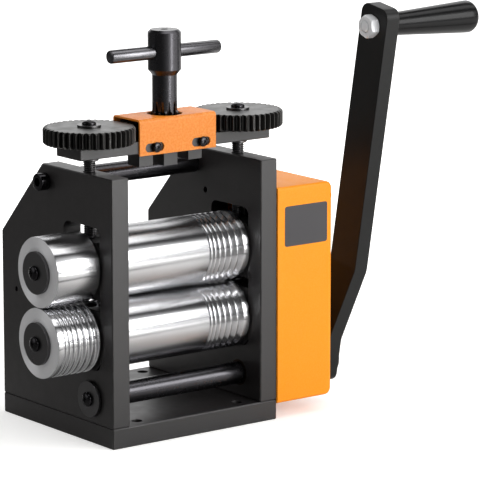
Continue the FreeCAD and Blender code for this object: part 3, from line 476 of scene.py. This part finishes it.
# Each call names the finish, how far edges are broken, and the nodes.
dress(blackPlate, 0.25, "base_plate", "left_plate", "right_plate")
dress(bearingIron, 0.3, "lower_bearing_left", "lower_bearing_right", "upper_bearing_left",
      "upper_bearing_right")
dress(turnedOxide, 0.3, "upper_tie_rod")
dress(blackOxide, 0.2, "plate_screws")
dress(bushBronze, 0.15, "shaft_bushes")
dress(zincPlate, 0.15, "cover_standoffs")
print("frame dressed")

roll = {"steps": 144, "journal": 9.0, "seat": 7.0, "edge": 0.6, "lip": 0.1, "firstGroove": 14.0,
        "widths": (1.2, 1.6, 2.0, 2.4, 2.8, 3.2, 3.6), "land": 0.7, "bodyHalf": 38.7, "journalHalf": 50.0}


# A roller's radius, both ends and the middle of its axis, from its CAD box.
def rollerSize(node):
    low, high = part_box(node)
    return (high.z - low.z) / 2 / mm, low.x / mm, high.x / mm, Vector((0, rollY, (low.z + high.z) / 2))


# One roll with its journals and seats, and V grooves for square wire with slightly broken lips.
def makeRoll(name, node, body, material):
    radius, left, right, centre = rollerSize(node)
    half, journalHalf = roll["bodyHalf"], roll["journalHalf"]
    journal, seat = roll["journal"], roll["seat"]
    edge, lip = roll["edge"], roll["lip"]
    points = [(left, 0), (left, seat - edge), (left + edge, seat), (-journalHalf, seat),
              (-journalHalf, journal), (-half, journal), (-half, radius - edge), (-half + edge, radius)]
    x = roll["firstGroove"]
    for width in roll["widths"]:
        deep = width / 2
        points += [(x - lip, radius), (x + lip, radius - lip), (x + deep, radius - deep),
                   (x + width - lip, radius - lip), (x + width + lip, radius)]
        x += width + roll["land"]
    points += [(half - edge, radius), (half, radius - edge), (half, journal), (journalHalf, journal),
               (journalHalf, seat), (right - edge, seat), (right, seat - edge), (right, 0)]
    bm = moved(spun(points, "X", roll["steps"]), centre)
    makePiece(name, bm, body, material, (node,))


makeRoll("upperRollTurned", "upper_roll", "upper_roll_set", upperSteel)
makeRoll("lowerRollTurned", "lower_roll", "lower_roll_set", lowerSteel)

sideRoller = {"steps": 144, "bore": 7.05, "edge": 0.45, "edgeStep": 0.3, "firstGroove": 3.0,
              "widths": (1.3, 1.6, 2.0, 2.4, 2.8, 3.1, 3.4), "land": 0.6, "lip": 0.08, "sink": 0.03,
              "sides": 8}


# Side roller, plain or with half-round wire grooves, as one closed ring.
def makeSideRoller(name, node, body, material, grooved):
    radius, left, right, centre = rollerSize(node)
    edge, bore, lip = sideRoller["edge"], sideRoller["bore"], sideRoller["lip"]
    step = edge * sideRoller["edgeStep"]
    points = [(left, bore), (left, radius - edge), (left + step, radius - step), (left + edge, radius)]
    if grooved:
        x = left + sideRoller["firstGroove"]
        for width in sideRoller["widths"]:
            size = width / 2 - lip
            middle = x + width / 2
            angles = [math.pi * i / sideRoller["sides"] for i in range(sideRoller["sides"] + 1)]
            points += [(x - lip, radius)]
            points += [(middle - size * math.cos(a), radius - size * math.sin(a) - sideRoller["sink"])
                       for a in angles]
            points += [(x + width + lip, radius)]
            x += width + sideRoller["land"]
    points += [(right - edge, radius), (right - step, radius - step), (right, radius - edge), (right, bore)]
    bm = moved(spun(points, "X", sideRoller["steps"], closed=True), centre)
    makePiece(name, bm, body, material, (node,))


makeSideRoller("upperSideRollerPlain", "upper_side_roller", "upper_roll_set", upperSteel, False)
makeSideRoller("lowerSideRollerGrooved", "lower_side_roller", "lower_roll_set", lowerSteel, True)
print("rolls turned")

# Shares of the head's size or height, except the edge, how far the cutter goes over, steps and turns.
panHead = {"rise": 0.36, "squashedRise": 0.3, "play": 0.995, "rim": 0.34, "crown": 0.12, "edge": 0.15,
           "domeSteps": 7, "steps": 48, "cross": 0.52, "arm": 0.15, "deep": 0.6, "taper": (0.35, 0.6, 1),
           "over": 1, "firstTurn": 20, "nextTurn": 31}


# Pan head screw with a cross recess, pointing up, with the underside of its head at z = 0.
def panScrew(headSize, shankSize, shankLength, crossTurn):
    head = headSize / 2
    rise = panHead["rise"] * headSize
    rim = panHead["rim"] * rise
    crown = panHead["crown"]
    shank = shankSize / 2
    outline = [(-shankLength, 0), (-shankLength, shank), (0, shank), (0, head - panHead["edge"]),
               (panHead["edge"], head), (rim, head)]
    for i in range(1, panHead["domeSteps"]):  # the dome, a quarter of an ellipse
        a = math.pi / 2 * i / panHead["domeSteps"]
        outline.append((rim + (rise - rim) * math.sin(a), head * (crown + (1 - crown) * math.cos(a))))
    outline.append((rise, 0))
    bm = spun(outline, "Z", panHead["steps"])
    reach = panHead["cross"] * head * mm
    arm = panHead["arm"] * head * mm
    for turn in (0, 90):
        bottom = rise * (1 - panHead["deep"]) * mm
        cutter = boxMesh((-reach, -arm, bottom), (reach, arm, (rise + panHead["over"]) * mm))
        low = [v for v in cutter.verts if v.co.z < rise * mm]
        bmesh.ops.scale(cutter, vec=panHead["taper"], verts=low)  # the recess narrows downwards
        bm = cutAway(bm, turned(cutter, turn + crossTurn, "Z"))
    return bm


# Replaces every screw of a CAD node by one with a cross recess. They all point one way, or those
# on both sides point outwards along it.
def makePanScrews(name, node, body, pointing, shankSize, bothSides=False):
    parts = []
    for index, (middle, low, high) in enumerate(middlesOfSolids(node)):
        direction = Vector(pointing)
        if bothSides:
            direction *= math.copysign(1, direction.dot(middle - Vector((0, rollY, 0))))
        head = max(high[i] - low[i] for i in range(3) if not direction[i]) / mm
        length = abs((high - low).dot(direction)) / mm
        headHeight = panHead["squashedRise"] * head
        seat = middle + direction * (length / 2 - headHeight) * mm
        screw = panScrew(head * panHead["play"], shankSize, length - headHeight,
                         panHead["firstTurn"] + panHead["nextTurn"] * index)
        bmesh.ops.scale(screw, vec=(1, 1, panHead["squashedRise"] / panHead["rise"]),
                        verts=[v for v in screw.verts if v.co.z > 0])
        parts.append(aimed(screw, direction, seat))
    makePiece(name, joined(parts), body, screwOxide, (node,))


makePanScrews("upperSideScrewCross", "upper_side_screw", "upper_roll_set", (-1, 0, 0), 4.0)
makePanScrews("lowerSideScrewCross", "lower_side_screw", "lower_roll_set", (-1, 0, 0), 4.0)
makePanScrews("shaftScrewsCross", "shaft_screws", "crank", (1, 0, 0), 4.0, bothSides=True)
makePanScrews("gearCoverScrewsCross", "gear_cover_screws", "frame", (1, 0, 0), 3.0)
makePanScrews("topCoverScrewsCross", "top_cover_screws", "yoke", (0, 1, 0), 2.9, bothSides=True)
for side in ("left", "right"):
    makePanScrews(side + "GearScrewCross", side + "_gear_screw", side + "_screw", (0, 0, 1), 3.0)

socketHead = {"size": 8.5, "height": 5.0, "edge": 0.5, "edgeIn": 0.3, "edgeOut": 0.35, "foot": 0.2,
              "across": 4.1, "deep": 2.8, "shank": 5.0, "steps": 56}


# Cap screw with a hexagon socket, pointing up, with the underside of its head at z = 0.
def socketScrew(length):
    size = socketHead["size"] / 2
    height = socketHead["height"]
    shank = socketHead["shank"] / 2
    edge, foot = socketHead["edge"], socketHead["foot"]
    edgeIn, edgeOut = edge * socketHead["edgeIn"], edge * socketHead["edgeOut"]
    outline = [(-length, 0), (-length, shank), (0, shank), (0, size - foot), (foot, size),
               (height - edge, size), (height - edgeIn, size - edgeOut), (height, size - edge), (height, 0)]
    cutter = prism(6, socketHead["across"] / math.sqrt(3), 2 * socketHead["deep"])
    return cutAway(spun(outline, "Z", socketHead["steps"]), moved(cutter, Vector((0, 0, height * mm))))


def makeTieRodScrews():
    parts = []
    for middle, low, high in middlesOfSolids("tie_rod_screws"):
        side = math.copysign(1, middle.x)
        length = (high.x - low.x) / mm - socketHead["height"]
        outer = high.x if side > 0 else low.x
        seat = Vector((outer - side * socketHead["height"] * mm, middle.y, middle.z))
        parts.append(aimed(socketScrew(length), (side, 0, 0), seat))
    makePiece("tieRodScrewsSocket", joined(parts), "frame", screwOxide,
              ("tie_rod_screws",))


makeTieRodScrews()
dress(oiledOxide, 0.15, "upper_side_washer", "lower_side_washer", "shaft_washers", "left_gear_washer",
      "right_gear_washer")
print("screws made")

dress(blackOxide, 0.12, "left_adjusting_gear", "right_adjusting_gear", "left_idler_gear",
      "right_idler_gear", "upper_roll_gear", "lower_roll_gear", "driven_gear", "drive_pinion",
      "upper_roll_key", "lower_roll_key", "upper_gear_screw", "lower_gear_screw")
dress(turnedOxide, 0.3, "drive_shaft")
dress(crankPaint, 0.35, "crank_arm")
print("gears dressed")

grip = {"small": 5.4, "large": 8.1, "nose": 4.1, "noseArc": (90, 8), "noseSteps": 9, "bore": 3.05,
        "sink": 3.8, "sinkDeep": 4.5, "sinkEdge": 0.3, "foot": 0.5, "ringEvery": 4, "rings": 12, "steps": 96}


# The middle of the grip's axis, and where the grip starts and ends along it.
def gripPlace():
    low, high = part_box("crank_grip")
    return Vector((0, (low.y + high.y) / 2, (low.z + high.z) / 2)), low.x / mm, high.x / mm


def makeGrip():
    centre, start, end = gripPlace()
    small, nose, foot = grip["small"], grip["nose"], grip["foot"]
    sink, sinkEdge, bottom = grip["sink"], grip["sinkEdge"], end - grip["sinkDeep"]
    slope = (grip["large"] - small) / (end - start - nose)
    reaches = [i * grip["ringEvery"] for i in range(1, grip["rings"] + 1)]
    points = [(start, grip["bore"]), (start, small - foot), (start + foot, small)]
    points += [(start + foot + reach, small + slope * reach) for reach in reaches]
    points += arc(end - nose, grip["large"] - nose, nose, *grip["noseArc"], grip["noseSteps"])[1:]
    points += [(end, sink + sinkEdge), (end - sinkEdge, sink), (bottom, sink), (bottom, grip["bore"])]
    bm = moved(spun(points, "X", grip["steps"], closed=True), centre)
    makePiece("crankGripMoulded", bm, "grip", gripPlastic, ("crank_grip",))


# The nut stands turned a little on the crank, which leans by its tilt; "crown" is the chamfer's height.
# The tools that cut it reach over its faces and outside its corners.
nut = {"across": 10.0, "bore": 3.05, "turn": 12, "tilt": 10.35, "crown": 0.72, "inset": 0.1, "slope": 1.8,
       "past": 0.15, "over": 1, "outside": 2, "steps": 72, "boreSteps": 48, "edge": 0.12}


def makeNut():
    low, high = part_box("grip_nut")
    centre = gripPlace()[0]
    thick = (high.x - low.x) / mm
    reach = nut["across"] / math.sqrt(3)
    bm = turned(prism(6, reach, thick), 30 + nut["turn"], "Z")
    # The corners are turned off: what lies outside a lens of revolution is cut away.
    half = thick / 2
    face = nut["across"] / 2 - nut["inset"]
    crown, corner = half - nut["crown"], reach + nut["past"]
    beyond, inner, outside = half + nut["over"], face - nut["slope"], reach + nut["outside"]
    ring = [(-beyond, outside), (-beyond, inner), (-half, face), (-crown, corner), (crown, corner),
            (half, face), (beyond, inner), (beyond, outside)]
    bm = cutAway(bm, spun(ring, "Z", nut["steps"], closed=True))
    bm = cutAway(bm, prism(nut["boreSteps"], nut["bore"], 2 * beyond))
    turn = Matrix.Rotation(math.radians(nut["tilt"]), 4, "X")
    stand = Matrix(((0, 0, 1, 0), (1, 0, 0, 0), (0, 1, 0, 0), (0, 0, 0, 1)))  # Z of the shape becomes X
    place = Matrix.Translation(((low.x + high.x) / 2, centre.y, centre.z))
    bmesh.ops.transform(bm, matrix=place @ turn @ stand, verts=bm.verts)
    makePiece("gripNutHex", bm, "crank", zincPlate, ("grip_nut",), edge=nut["edge"])


# Shares of the pitch at which a thread's crest starts and ends.
crest = {"start": 0.36, "end": 0.58}


# Rings of thread on a rod along Z: one V profile is carried round and up as a helix.
def threaded(radius, pitch, deep, start, end, steps):
    turns = int((end - start) / pitch)
    bm = bmesh.new()
    profile = [(radius - deep, 0.0), (radius, crest["start"] * pitch), (radius, crest["end"] * pitch),
               (radius - deep, pitch)]
    verts = [bm.verts.new((r * mm, 0, (start + z) * mm)) for r, z in profile]
    edges = [bm.edges.new(pair) for pair in zip(verts, verts[1:])]
    bmesh.ops.spin(bm, geom=verts + edges, cent=(0, 0, 0), axis=(0, 0, 1), dvec=(0, 0, pitch * mm / steps),
                   angle=2 * math.pi * turns, steps=steps * turns, use_duplicate=False)
    bmesh.ops.remove_doubles(bm, verts=bm.verts, dist=weldReach)
    bmesh.ops.recalc_face_normals(bm, faces=bm.faces)
    return bm


bolt = {"size": 3.0, "pitch": 1.0, "deep": 0.35, "play": 0.02, "tip": 0.5, "thread": (0.1, 5.2),
        "shankFrom": 6.2, "head": 3.5, "headHeight": 3.3, "edge": 0.3, "steps": 48, "threadSteps": 32}


def makeGripBolt():
    low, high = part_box("grip_bolt")
    centre = gripPlace()[0]
    length = (high.x - low.x) / mm
    size, head, edge, tip = bolt["size"], bolt["head"], bolt["edge"], bolt["tip"]
    root = size - bolt["deep"] - bolt["play"]
    headStart = length - bolt["headHeight"]
    core = [(0, 0), (0, root - tip), (tip, root), (bolt["shankFrom"], root), (bolt["shankFrom"], size),
            (headStart, size), (headStart, head), (length - edge, head), (length, head - edge), (length, 0)]
    thread = threaded(size, bolt["pitch"], bolt["deep"], *bolt["thread"], bolt["threadSteps"])
    whole = joined([spun(core, "Z", bolt["steps"]), thread])
    bm = aimed(whole, (1, 0, 0), Vector((low.x, centre.y, centre.z)))
    makePiece("gripBoltThreaded", bm, "crank", zincPlate, ("grip_bolt",))


makeGrip()
makeNut()
makeGripBolt()
print("grip made")

dress(blackPlate, 0.2, "bridge_bar", "gear_studs")
dress(roughCoat, 0.15, "top_cover")

screwRod = {"radius": 3.0, "pitch": 1.0, "deep": 0.5, "steps": 36, "coreSteps": 48, "tip": 0.7,
            "tipIn": 0.6, "neck": 0.4, "neckOut": 0.1, "runOut": 0.5, "collar": 4.5, "collarHeight": 2.0,
            "collarEdge": 0.3, "gap": 0.05, "journal": 4.0, "seat": 2.75, "sunk": 0.2}


# Adjusting screw with its thread, from the tip on the bearing block up to the collar.
def makeAdjustingScrew(side):
    node = side + "_adjusting_screw"
    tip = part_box(node)[0].z / mm
    gearLow, gearHigh = [corner.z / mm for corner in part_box(side + "_adjusting_gear")]
    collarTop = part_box("bridge_bar")[0].z / mm - screwRod["gap"]
    collarLow = collarTop - screwRod["collarHeight"]
    collar, edge = screwRod["collar"], screwRod["collarEdge"]
    journal, seat, runOut = screwRod["journal"], screwRod["seat"], screwRod["runOut"]
    root = screwRod["radius"] - screwRod["deep"]
    top = gearHigh - screwRod["sunk"]
    core = [(tip, 0), (tip, root - screwRod["tipIn"]), (tip + screwRod["tip"], root),
            (collarLow - screwRod["neck"], root), (collarLow, root + screwRod["neckOut"]),
            (collarLow, collar - edge), (collarLow + edge, collar), (collarTop - edge, collar),
            (collarTop, collar - edge), (collarTop, journal), (gearLow, journal), (gearLow, seat),
            (top, seat), (top, 0)]
    thread = threaded(screwRod["radius"], screwRod["pitch"], screwRod["deep"], tip + runOut,
                      collarLow - runOut, screwRod["steps"])
    whole = joined([spun(core, "Z", screwRod["coreSteps"]), thread])
    bm = moved(whole, Vector((middleOf(node).x, rollY, 0)))
    makePiece(side + "AdjustingScrewThreaded", bm, side + "_screw", oiledOxide, (node,))


for side in ("left", "right"):
    makeAdjustingScrew(side)

dress(turnedOxide, 0.3, "handle_spindle")
handleBar = {"radius": 3.25, "edge": 0.7, "stepIn": 0.25, "stepOut": 0.4, "steps": 64}


def makeHandleBar():
    low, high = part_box("handle_bar")
    left, right = low.x / mm, high.x / mm
    radius, edge = handleBar["radius"], handleBar["edge"]
    stepIn, stepOut = edge * handleBar["stepIn"], edge * handleBar["stepOut"]
    points = [(left, 0), (left, radius - edge), (left + stepIn, radius - stepOut), (left + edge, radius),
              (right - edge, radius), (right - stepIn, radius - stepOut), (right, radius - edge), (right, 0)]
    centre = middleOf("handle_bar")
    bm = moved(spun(points, "X", handleBar["steps"]), Vector((0, centre.y, centre.z)))
    makePiece("handleBarTurned", bm, "handle", drawnOxide, ("handle_bar",))


makeHandleBar()
print("yoke made")

spring = {"wire": 0.5, "coil": 3.5, "turns": 3.5, "steps": 28, "sides": 10}


# Two coils of round wire between the fixed and the rising blocks.
def makeSprings():
    low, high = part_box("return_springs")
    wire = spring["wire"]
    climb = (high.z - low.z) / mm - 2 * wire
    steps = int(spring["steps"] * spring["turns"])
    parts = []
    for side in (-1, 1):
        bm = bmesh.new()
        bmesh.ops.create_circle(bm, cap_ends=False, segments=spring["sides"], radius=wire * mm)
        moved(turned(bm, 90, "X"), (spring["coil"] * mm, 0, 0))
        bmesh.ops.spin(bm, geom=bm.verts[:] + bm.edges[:], cent=(0, 0, 0), axis=(0, 0, 1),
                       dvec=(0, 0, climb * mm / steps), angle=2 * math.pi * spring["turns"], steps=steps,
                       use_duplicate=False)
        bmesh.ops.holes_fill(bm, edges=[e for e in bm.edges if e.is_boundary], sides=spring["sides"])
        bmesh.ops.recalc_face_normals(bm, faces=bm.faces)
        parts.append(moved(bm, Vector((middleOf("right_plate").x * side, rollY, low.z + wire * mm))))
    piece = makePiece("returnSpringsCoiled", joined(parts), None, springWire,
                      ("return_springs",))
    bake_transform(piece)


makeSprings()

cover = {"sheet": 1.2, "longBend": 3.5, "longSteps": 8, "rim": 1.6, "rimSteps": 5, "shaftHole": 12.0,
         "screwHole": 3.4, "holeSides": 48, "drill": 10}


def crossesInY(edge):
    return abs(edge.verts[0].co.y - edge.verts[1].co.y) > nearly


# Bent sheet cover, open towards the side plate: a box with rolled edges, hollowed to its sheet.
def makeGearCover():
    low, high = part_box("gear_cover")
    bm = boxMesh(low, high)
    outer = [e for e in bm.edges if crossesInY(e) and all(v.co.x > high.x - nearly for v in e.verts)]
    rounded(bm, outer, cover["longBend"], cover["longSteps"])
    rim = [e for e in bm.edges if not crossesInY(e)
           and min(abs(e.verts[0].co.y - low.y), abs(e.verts[0].co.y - high.y)) < nearly
           and not all(v.co.x < low.x + nearly for v in e.verts)]
    rounded(bm, rim, cover["rim"], cover["rimSteps"])
    openFaces = [f for f in bm.faces if f.calc_center_median().x < low.x + nearly]
    bmesh.ops.delete(bm, geom=openFaces, context="FACES")
    bmesh.ops.recalc_face_normals(bm, faces=bm.faces)
    if sum(f.normal.x for f in bm.faces if f.calc_center_median().x > high.x - nearly) < 0:
        bmesh.ops.reverse_faces(bm, faces=bm.faces)
    bmesh.ops.solidify(bm, geom=bm.faces[:], thickness=cover["sheet"] * mm)
    holes = [(middleOf("shaft_bushes"), cover["shaftHole"])]
    holes += [(solid[0], cover["screwHole"]) for solid in middlesOfSolids("gear_cover_screws")]
    for middle, size in holes:
        drill = prism(cover["holeSides"], size / 2, cover["drill"])
        bm = cutAway(bm, aimed(drill, (1, 0, 0), Vector((high.x, middle.y, middle.z))))
    makePiece("gearCoverBent", bm, "frame", powderCoat, ("gear_cover",))


label = {"left": 53.2, "right": 79.4, "bottom": 85.8, "top": 105.7, "corner": 1.2, "cornerSteps": 6,
         "thick": 0.12, "sunk": 0.05}


def makeLabel():
    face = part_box("gear_cover")[0].y
    low = Vector((label["left"] * mm, face - label["thick"] * mm, label["bottom"] * mm))
    high = Vector((label["right"] * mm, face + label["sunk"] * mm, label["top"] * mm))
    bm = boxMesh(low, high)
    rounded(bm, [e for e in bm.edges if crossesInY(e)], label["corner"], label["cornerSteps"])
    makePiece("bareLabelPlate", bm, "frame", labelFilm)


makeGearCover()
makeLabel()
print("cover made")

# The world's own light, how dark a shaded thing is in reflections, and where the soft boxes aim.
studio = {"world": 0.42, "shade": 0.06, "aim": (0, -0.03, 0.09)}
# The floor in metres: white for the camera from near to far, and its paper.
table = {"size": 14.0, "white": (0.15, 0.7), "nearWhite": 0.35, "paper": "#f4f3f1", "roughness": 0.9,
         "specular": 0.1}
# Glow of the floor in reflections: along which direction, from where to where, and how strong at the end.
tableGlow = {"towards": (0.6, -0.8, 0), "rise": (0.3, 1.0), "level": 0.5}
# Where the mill shades the floor in reflections: fading away from it, and from left to right.
tableShade = {"away": (-0.08, 0.22), "across": (-0.15, 0.02), "dark": 0.9}
# A painted reflection of a table's front edge: a thin dark line painted into the floor, seen only in
# reflections; where it comes and goes from front to back.
paintedEdgeLine = {"rise": (-0.276, -0.252), "fall": (-0.22, -0.202), "dark": 0.9}
# What polished parts see far off. Spots: a direction, the angles of the faded and the full edge, a level.
spots = {"backdrop": {"towards": (0.60, 0.78, 0.20), "rise": (40, 30), "level": 1.2},
         "leftCard": {"towards": (-0.80, 0.45, 0.40), "rise": (26, 16), "level": 0.8}}
# Bands parallel to the rolls: the angles between which each comes and goes, and a level.
bands = {"low": {"rise": (-12, -2), "fall": (6, 12), "level": 1.0},
         "high": {"rise": (24, 34), "fall": (37, 57), "level": 1.3},
         "back": {"rise": (127, 129), "fall": (133, 135), "level": 0.85}}
bandsFade = (0.0, 0.3)  # the share of the way to the right over which they come
# A glow high on the left that lights the top of the side rollers, with its place from left to right.
leftGlow = {"rise": (56, 64), "fall": (88, 100), "level": 2.2, "comes": (-0.35, 0.0), "goes": (0.45, 0.6)}


# Comes softly between two values of a place and, where a fall is given, goes between two others.
def softPatch(tree, place, rise, fall=None, low=0.0, level=1.0):
    soft = {"interpolation_type": "SMOOTHSTEP"}
    rising = addNode(tree, "ShaderNodeMapRange", {**soft, "From Min": rise[0], "From Max": rise[1],
                                                  "To Min": low, "To Max": level}, {"Value": place})
    if fall is None:
        return rising
    falling = addNode(tree, "ShaderNodeMapRange", {**soft, "From Min": fall[0], "From Max": fall[1],
                                                   "To Min": 1.0, "To Max": 0.0}, {"Value": place})
    return addNode(tree, "ShaderNodeMath", times, {0: rising, 1: falling})


def makeFloor():
    bm = bmesh.new()
    bmesh.ops.create_grid(bm, x_segments=1, y_segments=1, size=table["size"])
    floor = meshObject("floor", bm)
    material, tree, shader = newMaterial("palePaperFloor")
    shader.inputs["Roughness"].default_value = table["roughness"]
    shader.inputs["Specular IOR Level"].default_value = table["specular"]
    shader.inputs["Emission Color"].default_value = (1, 1, 1, 1)
    coords = addNode(tree, "ShaderNodeTexCoord").outputs["Object"]
    across, forwards = addNode(tree, "ShaderNodeSeparateXYZ", links={0: coords}).outputs[:2]
    away = addNode(tree, "ShaderNodeVectorMath", {"operation": "LENGTH"}, {0: coords}).outputs["Value"]
    path = addNode(tree, "ShaderNodeLightPath").outputs
    # Far from the mill the floor glows white for the camera, so it has no horizon.
    white = softPatch(tree, away, table["white"], low=table["nearWhite"])
    shown = addNode(tree, "ShaderNodeMath", times, {0: white, 1: path["Is Camera Ray"]})
    # Reflections see it bright in front on the right.
    front = addNode(tree, "ShaderNodeVectorMath", {"operation": "DOT_PRODUCT", 1: tableGlow["towards"]},
                    {0: coords}).outputs["Value"]
    glow = softPatch(tree, front, tableGlow["rise"], level=tableGlow["level"])
    seen = addNode(tree, "ShaderNodeMath", times, {0: glow, 1: path["Is Glossy Ray"]})
    emitted = addNode(tree, "ShaderNodeMath", plus, {0: shown, 1: seen})
    tree.links.new(emitted.outputs[0], shader.inputs["Emission Strength"])
    # Near the mill and on its left the floor is painted dark in reflections, a painted shade, and so is a
    # thin painted line for a table's edge.
    clear = addNode(tree, "ShaderNodeMath", times, {0: softPatch(tree, away, tableShade["away"]),
                                                    1: softPatch(tree, across, tableShade["across"])})
    # The painted dark line of the table's edge, seen only in reflections.
    edge = softPatch(tree, forwards, paintedEdgeLine["rise"], paintedEdgeLine["fall"], level=paintedEdgeLine["dark"])
    beside = addNode(tree, "ShaderNodeMath", {"operation": "SUBTRACT", 0: 1.0}, {1: edge})
    lit = addNode(tree, "ShaderNodeMath", times, {0: clear, 1: beside})
    shaded = addNode(tree, "ShaderNodeMath", {"operation": "SUBTRACT", 0: 1.0}, {1: lit})
    dark = addNode(tree, "ShaderNodeMath", {**times, 1: tableShade["dark"]}, {0: shaded})
    dark = addNode(tree, "ShaderNodeMath", times, {0: dark, 1: path["Is Glossy Ray"]})
    paper = linear(table["paper"])
    shade = dimmed(paper, studio["shade"])
    colour = addNode(tree, "ShaderNodeMix", {"data_type": "RGBA", 6: paper, 7: shade}, {0: dark})
    tree.links.new(colour.outputs[2], shader.inputs["Base Color"])
    floor.data.materials.append(material)


# A band of light between angles round the direction of the rolls.
def bandOf(tree, angle, rise, fall, level):
    rise, fall = [[math.radians(edge) for edge in pair] for pair in (rise, fall)]
    return softPatch(tree, angle, rise, fall, level=level)


def makeWorld():
    world = bpy.data.worlds.new("studio")
    scene.world = world
    world.use_nodes = True
    tree = world.node_tree
    tree.nodes.clear()
    path = addNode(tree, "ShaderNodeLightPath").outputs
    direction = addNode(tree, "ShaderNodeTexCoord").outputs["Generated"]
    right, back, up = addNode(tree, "ShaderNodeSeparateXYZ", links={0: direction}).outputs
    front = addNode(tree, "ShaderNodeMath", {**times, 1: -1.0}, {0: back})
    angle = addNode(tree, "ShaderNodeMath", {"operation": "ARCTAN2"}, {0: up, 1: front})
    lights = []
    for spot in spots.values():
        towards = Vector(spot["towards"]).normalized()
        facing = addNode(tree, "ShaderNodeVectorMath", {"operation": "DOT_PRODUCT", 1: towards},
                         {0: direction}).outputs["Value"]
        rise = [math.cos(math.radians(edge)) for edge in spot["rise"]]
        lights.append(softPatch(tree, facing, rise, level=spot["level"]))
    rightSide = softPatch(tree, right, bandsFade)
    for band in bands.values():
        light = bandOf(tree, angle, **band)
        lights.append(addNode(tree, "ShaderNodeMath", times, {0: light, 1: rightSide}))
    glow = bandOf(tree, angle, leftGlow["rise"], leftGlow["fall"], leftGlow["level"])
    leftSide = softPatch(tree, right, leftGlow["comes"], leftGlow["goes"])
    lights.append(addNode(tree, "ShaderNodeMath", times, {0: glow, 1: leftSide}))
    level = addNode(tree, "ShaderNodeValue")
    level.outputs[0].default_value = studio["shade"]
    for light in lights:
        level = addNode(tree, "ShaderNodeMath", plus, {0: level, 1: light})
    white = (1, 1, 1, 1)
    plain = addNode(tree, "ShaderNodeBackground", {"Color": white, "Strength": studio["world"]})
    mirror = addNode(tree, "ShaderNodeBackground", {"Color": white}, {"Strength": level})
    backdrop = addNode(tree, "ShaderNodeBackground", {"Color": white, "Strength": 1.0})
    others = addNode(tree, "ShaderNodeMixShader", links={0: path["Is Glossy Ray"], 1: plain, 2: mirror})
    whole = addNode(tree, "ShaderNodeMixShader", links={0: path["Is Camera Ray"], 1: others, 2: backdrop})
    addNode(tree, "ShaderNodeOutputWorld", links={"Surface": whole})


# Soft boxes: the angles they stand at, how far away and how large in metres, their power, and
# whether polished parts mirror them.
softboxes = {
    "frontSoftbox": {"turn": 23, "rise": 20.5, "away": 1.15, "width": 1.15, "height": 0.5, "power": 9.0,
                     "mirrored": True},
    "overheadSoftbox": {"turn": 60, "rise": 65, "away": 1.0, "width": 0.8, "height": 0.8, "power": 3.6,
                        "mirrored": False},
    "backSoftbox": {"turn": 205, "rise": 32, "away": 1.2, "width": 1.0, "height": 0.7, "power": 6.5,
                    "mirrored": False}}
# A strip lamp above, parallel to the rolls: its start, length and width, its angle and its distance.
strip = {"start": 0.58, "length": 0.9, "wide": 0.44, "angle": 80, "away": 1.0, "power": 1.85}
# A narrow upright lamp in front, only for the bright lines on upright shafts and screws.
upright = {"turn": 16, "away": 0.6, "width": 0.05, "height": 0.46, "lift": 0.01, "power": 0.9}


def areaLamp(name, width, height, power):
    data = bpy.data.lights.new(name, "AREA")
    data.shape = "RECTANGLE"
    data.size = width
    data.size_y = height
    data.energy = power
    item = linked(name, data)
    item.visible_camera = False
    return item


def softbox(name, turn, rise, away, width, height, power, mirrored):
    item = areaLamp(name, width, height, power)
    towards = directionAt(turn, rise)
    item.location = Vector(studio["aim"]) + towards * away
    turnTo(item, towards)
    item.visible_glossy = mirrored


def stripLamp():
    item = areaLamp("stripLamp", strip["length"], strip["wide"], strip["power"])
    towards = directionAt(0, strip["angle"])
    item.location = Vector((strip["start"] + strip["length"] / 2, rollY, upperZ)) + towards * strip["away"]
    item.rotation_euler = (math.radians(90 - strip["angle"]), 0, 0)


def uprightLamp():
    item = areaLamp("uprightLamp", upright["width"], upright["height"], upright["power"])
    item.location = directionAt(upright["turn"], 0) * upright["away"]
    item.location.z = upright["height"] / 2 + upright["lift"]
    item.rotation_euler = (math.radians(90), 0, math.radians(upright["turn"]))
    item.visible_diffuse = False


makeFloor()
makeWorld()
for name, settings in softboxes.items():
    softbox(name, **settings)
stripLamp()
uprightLamp()
scene.view_settings.view_transform = "Standard"
print("studio lit")
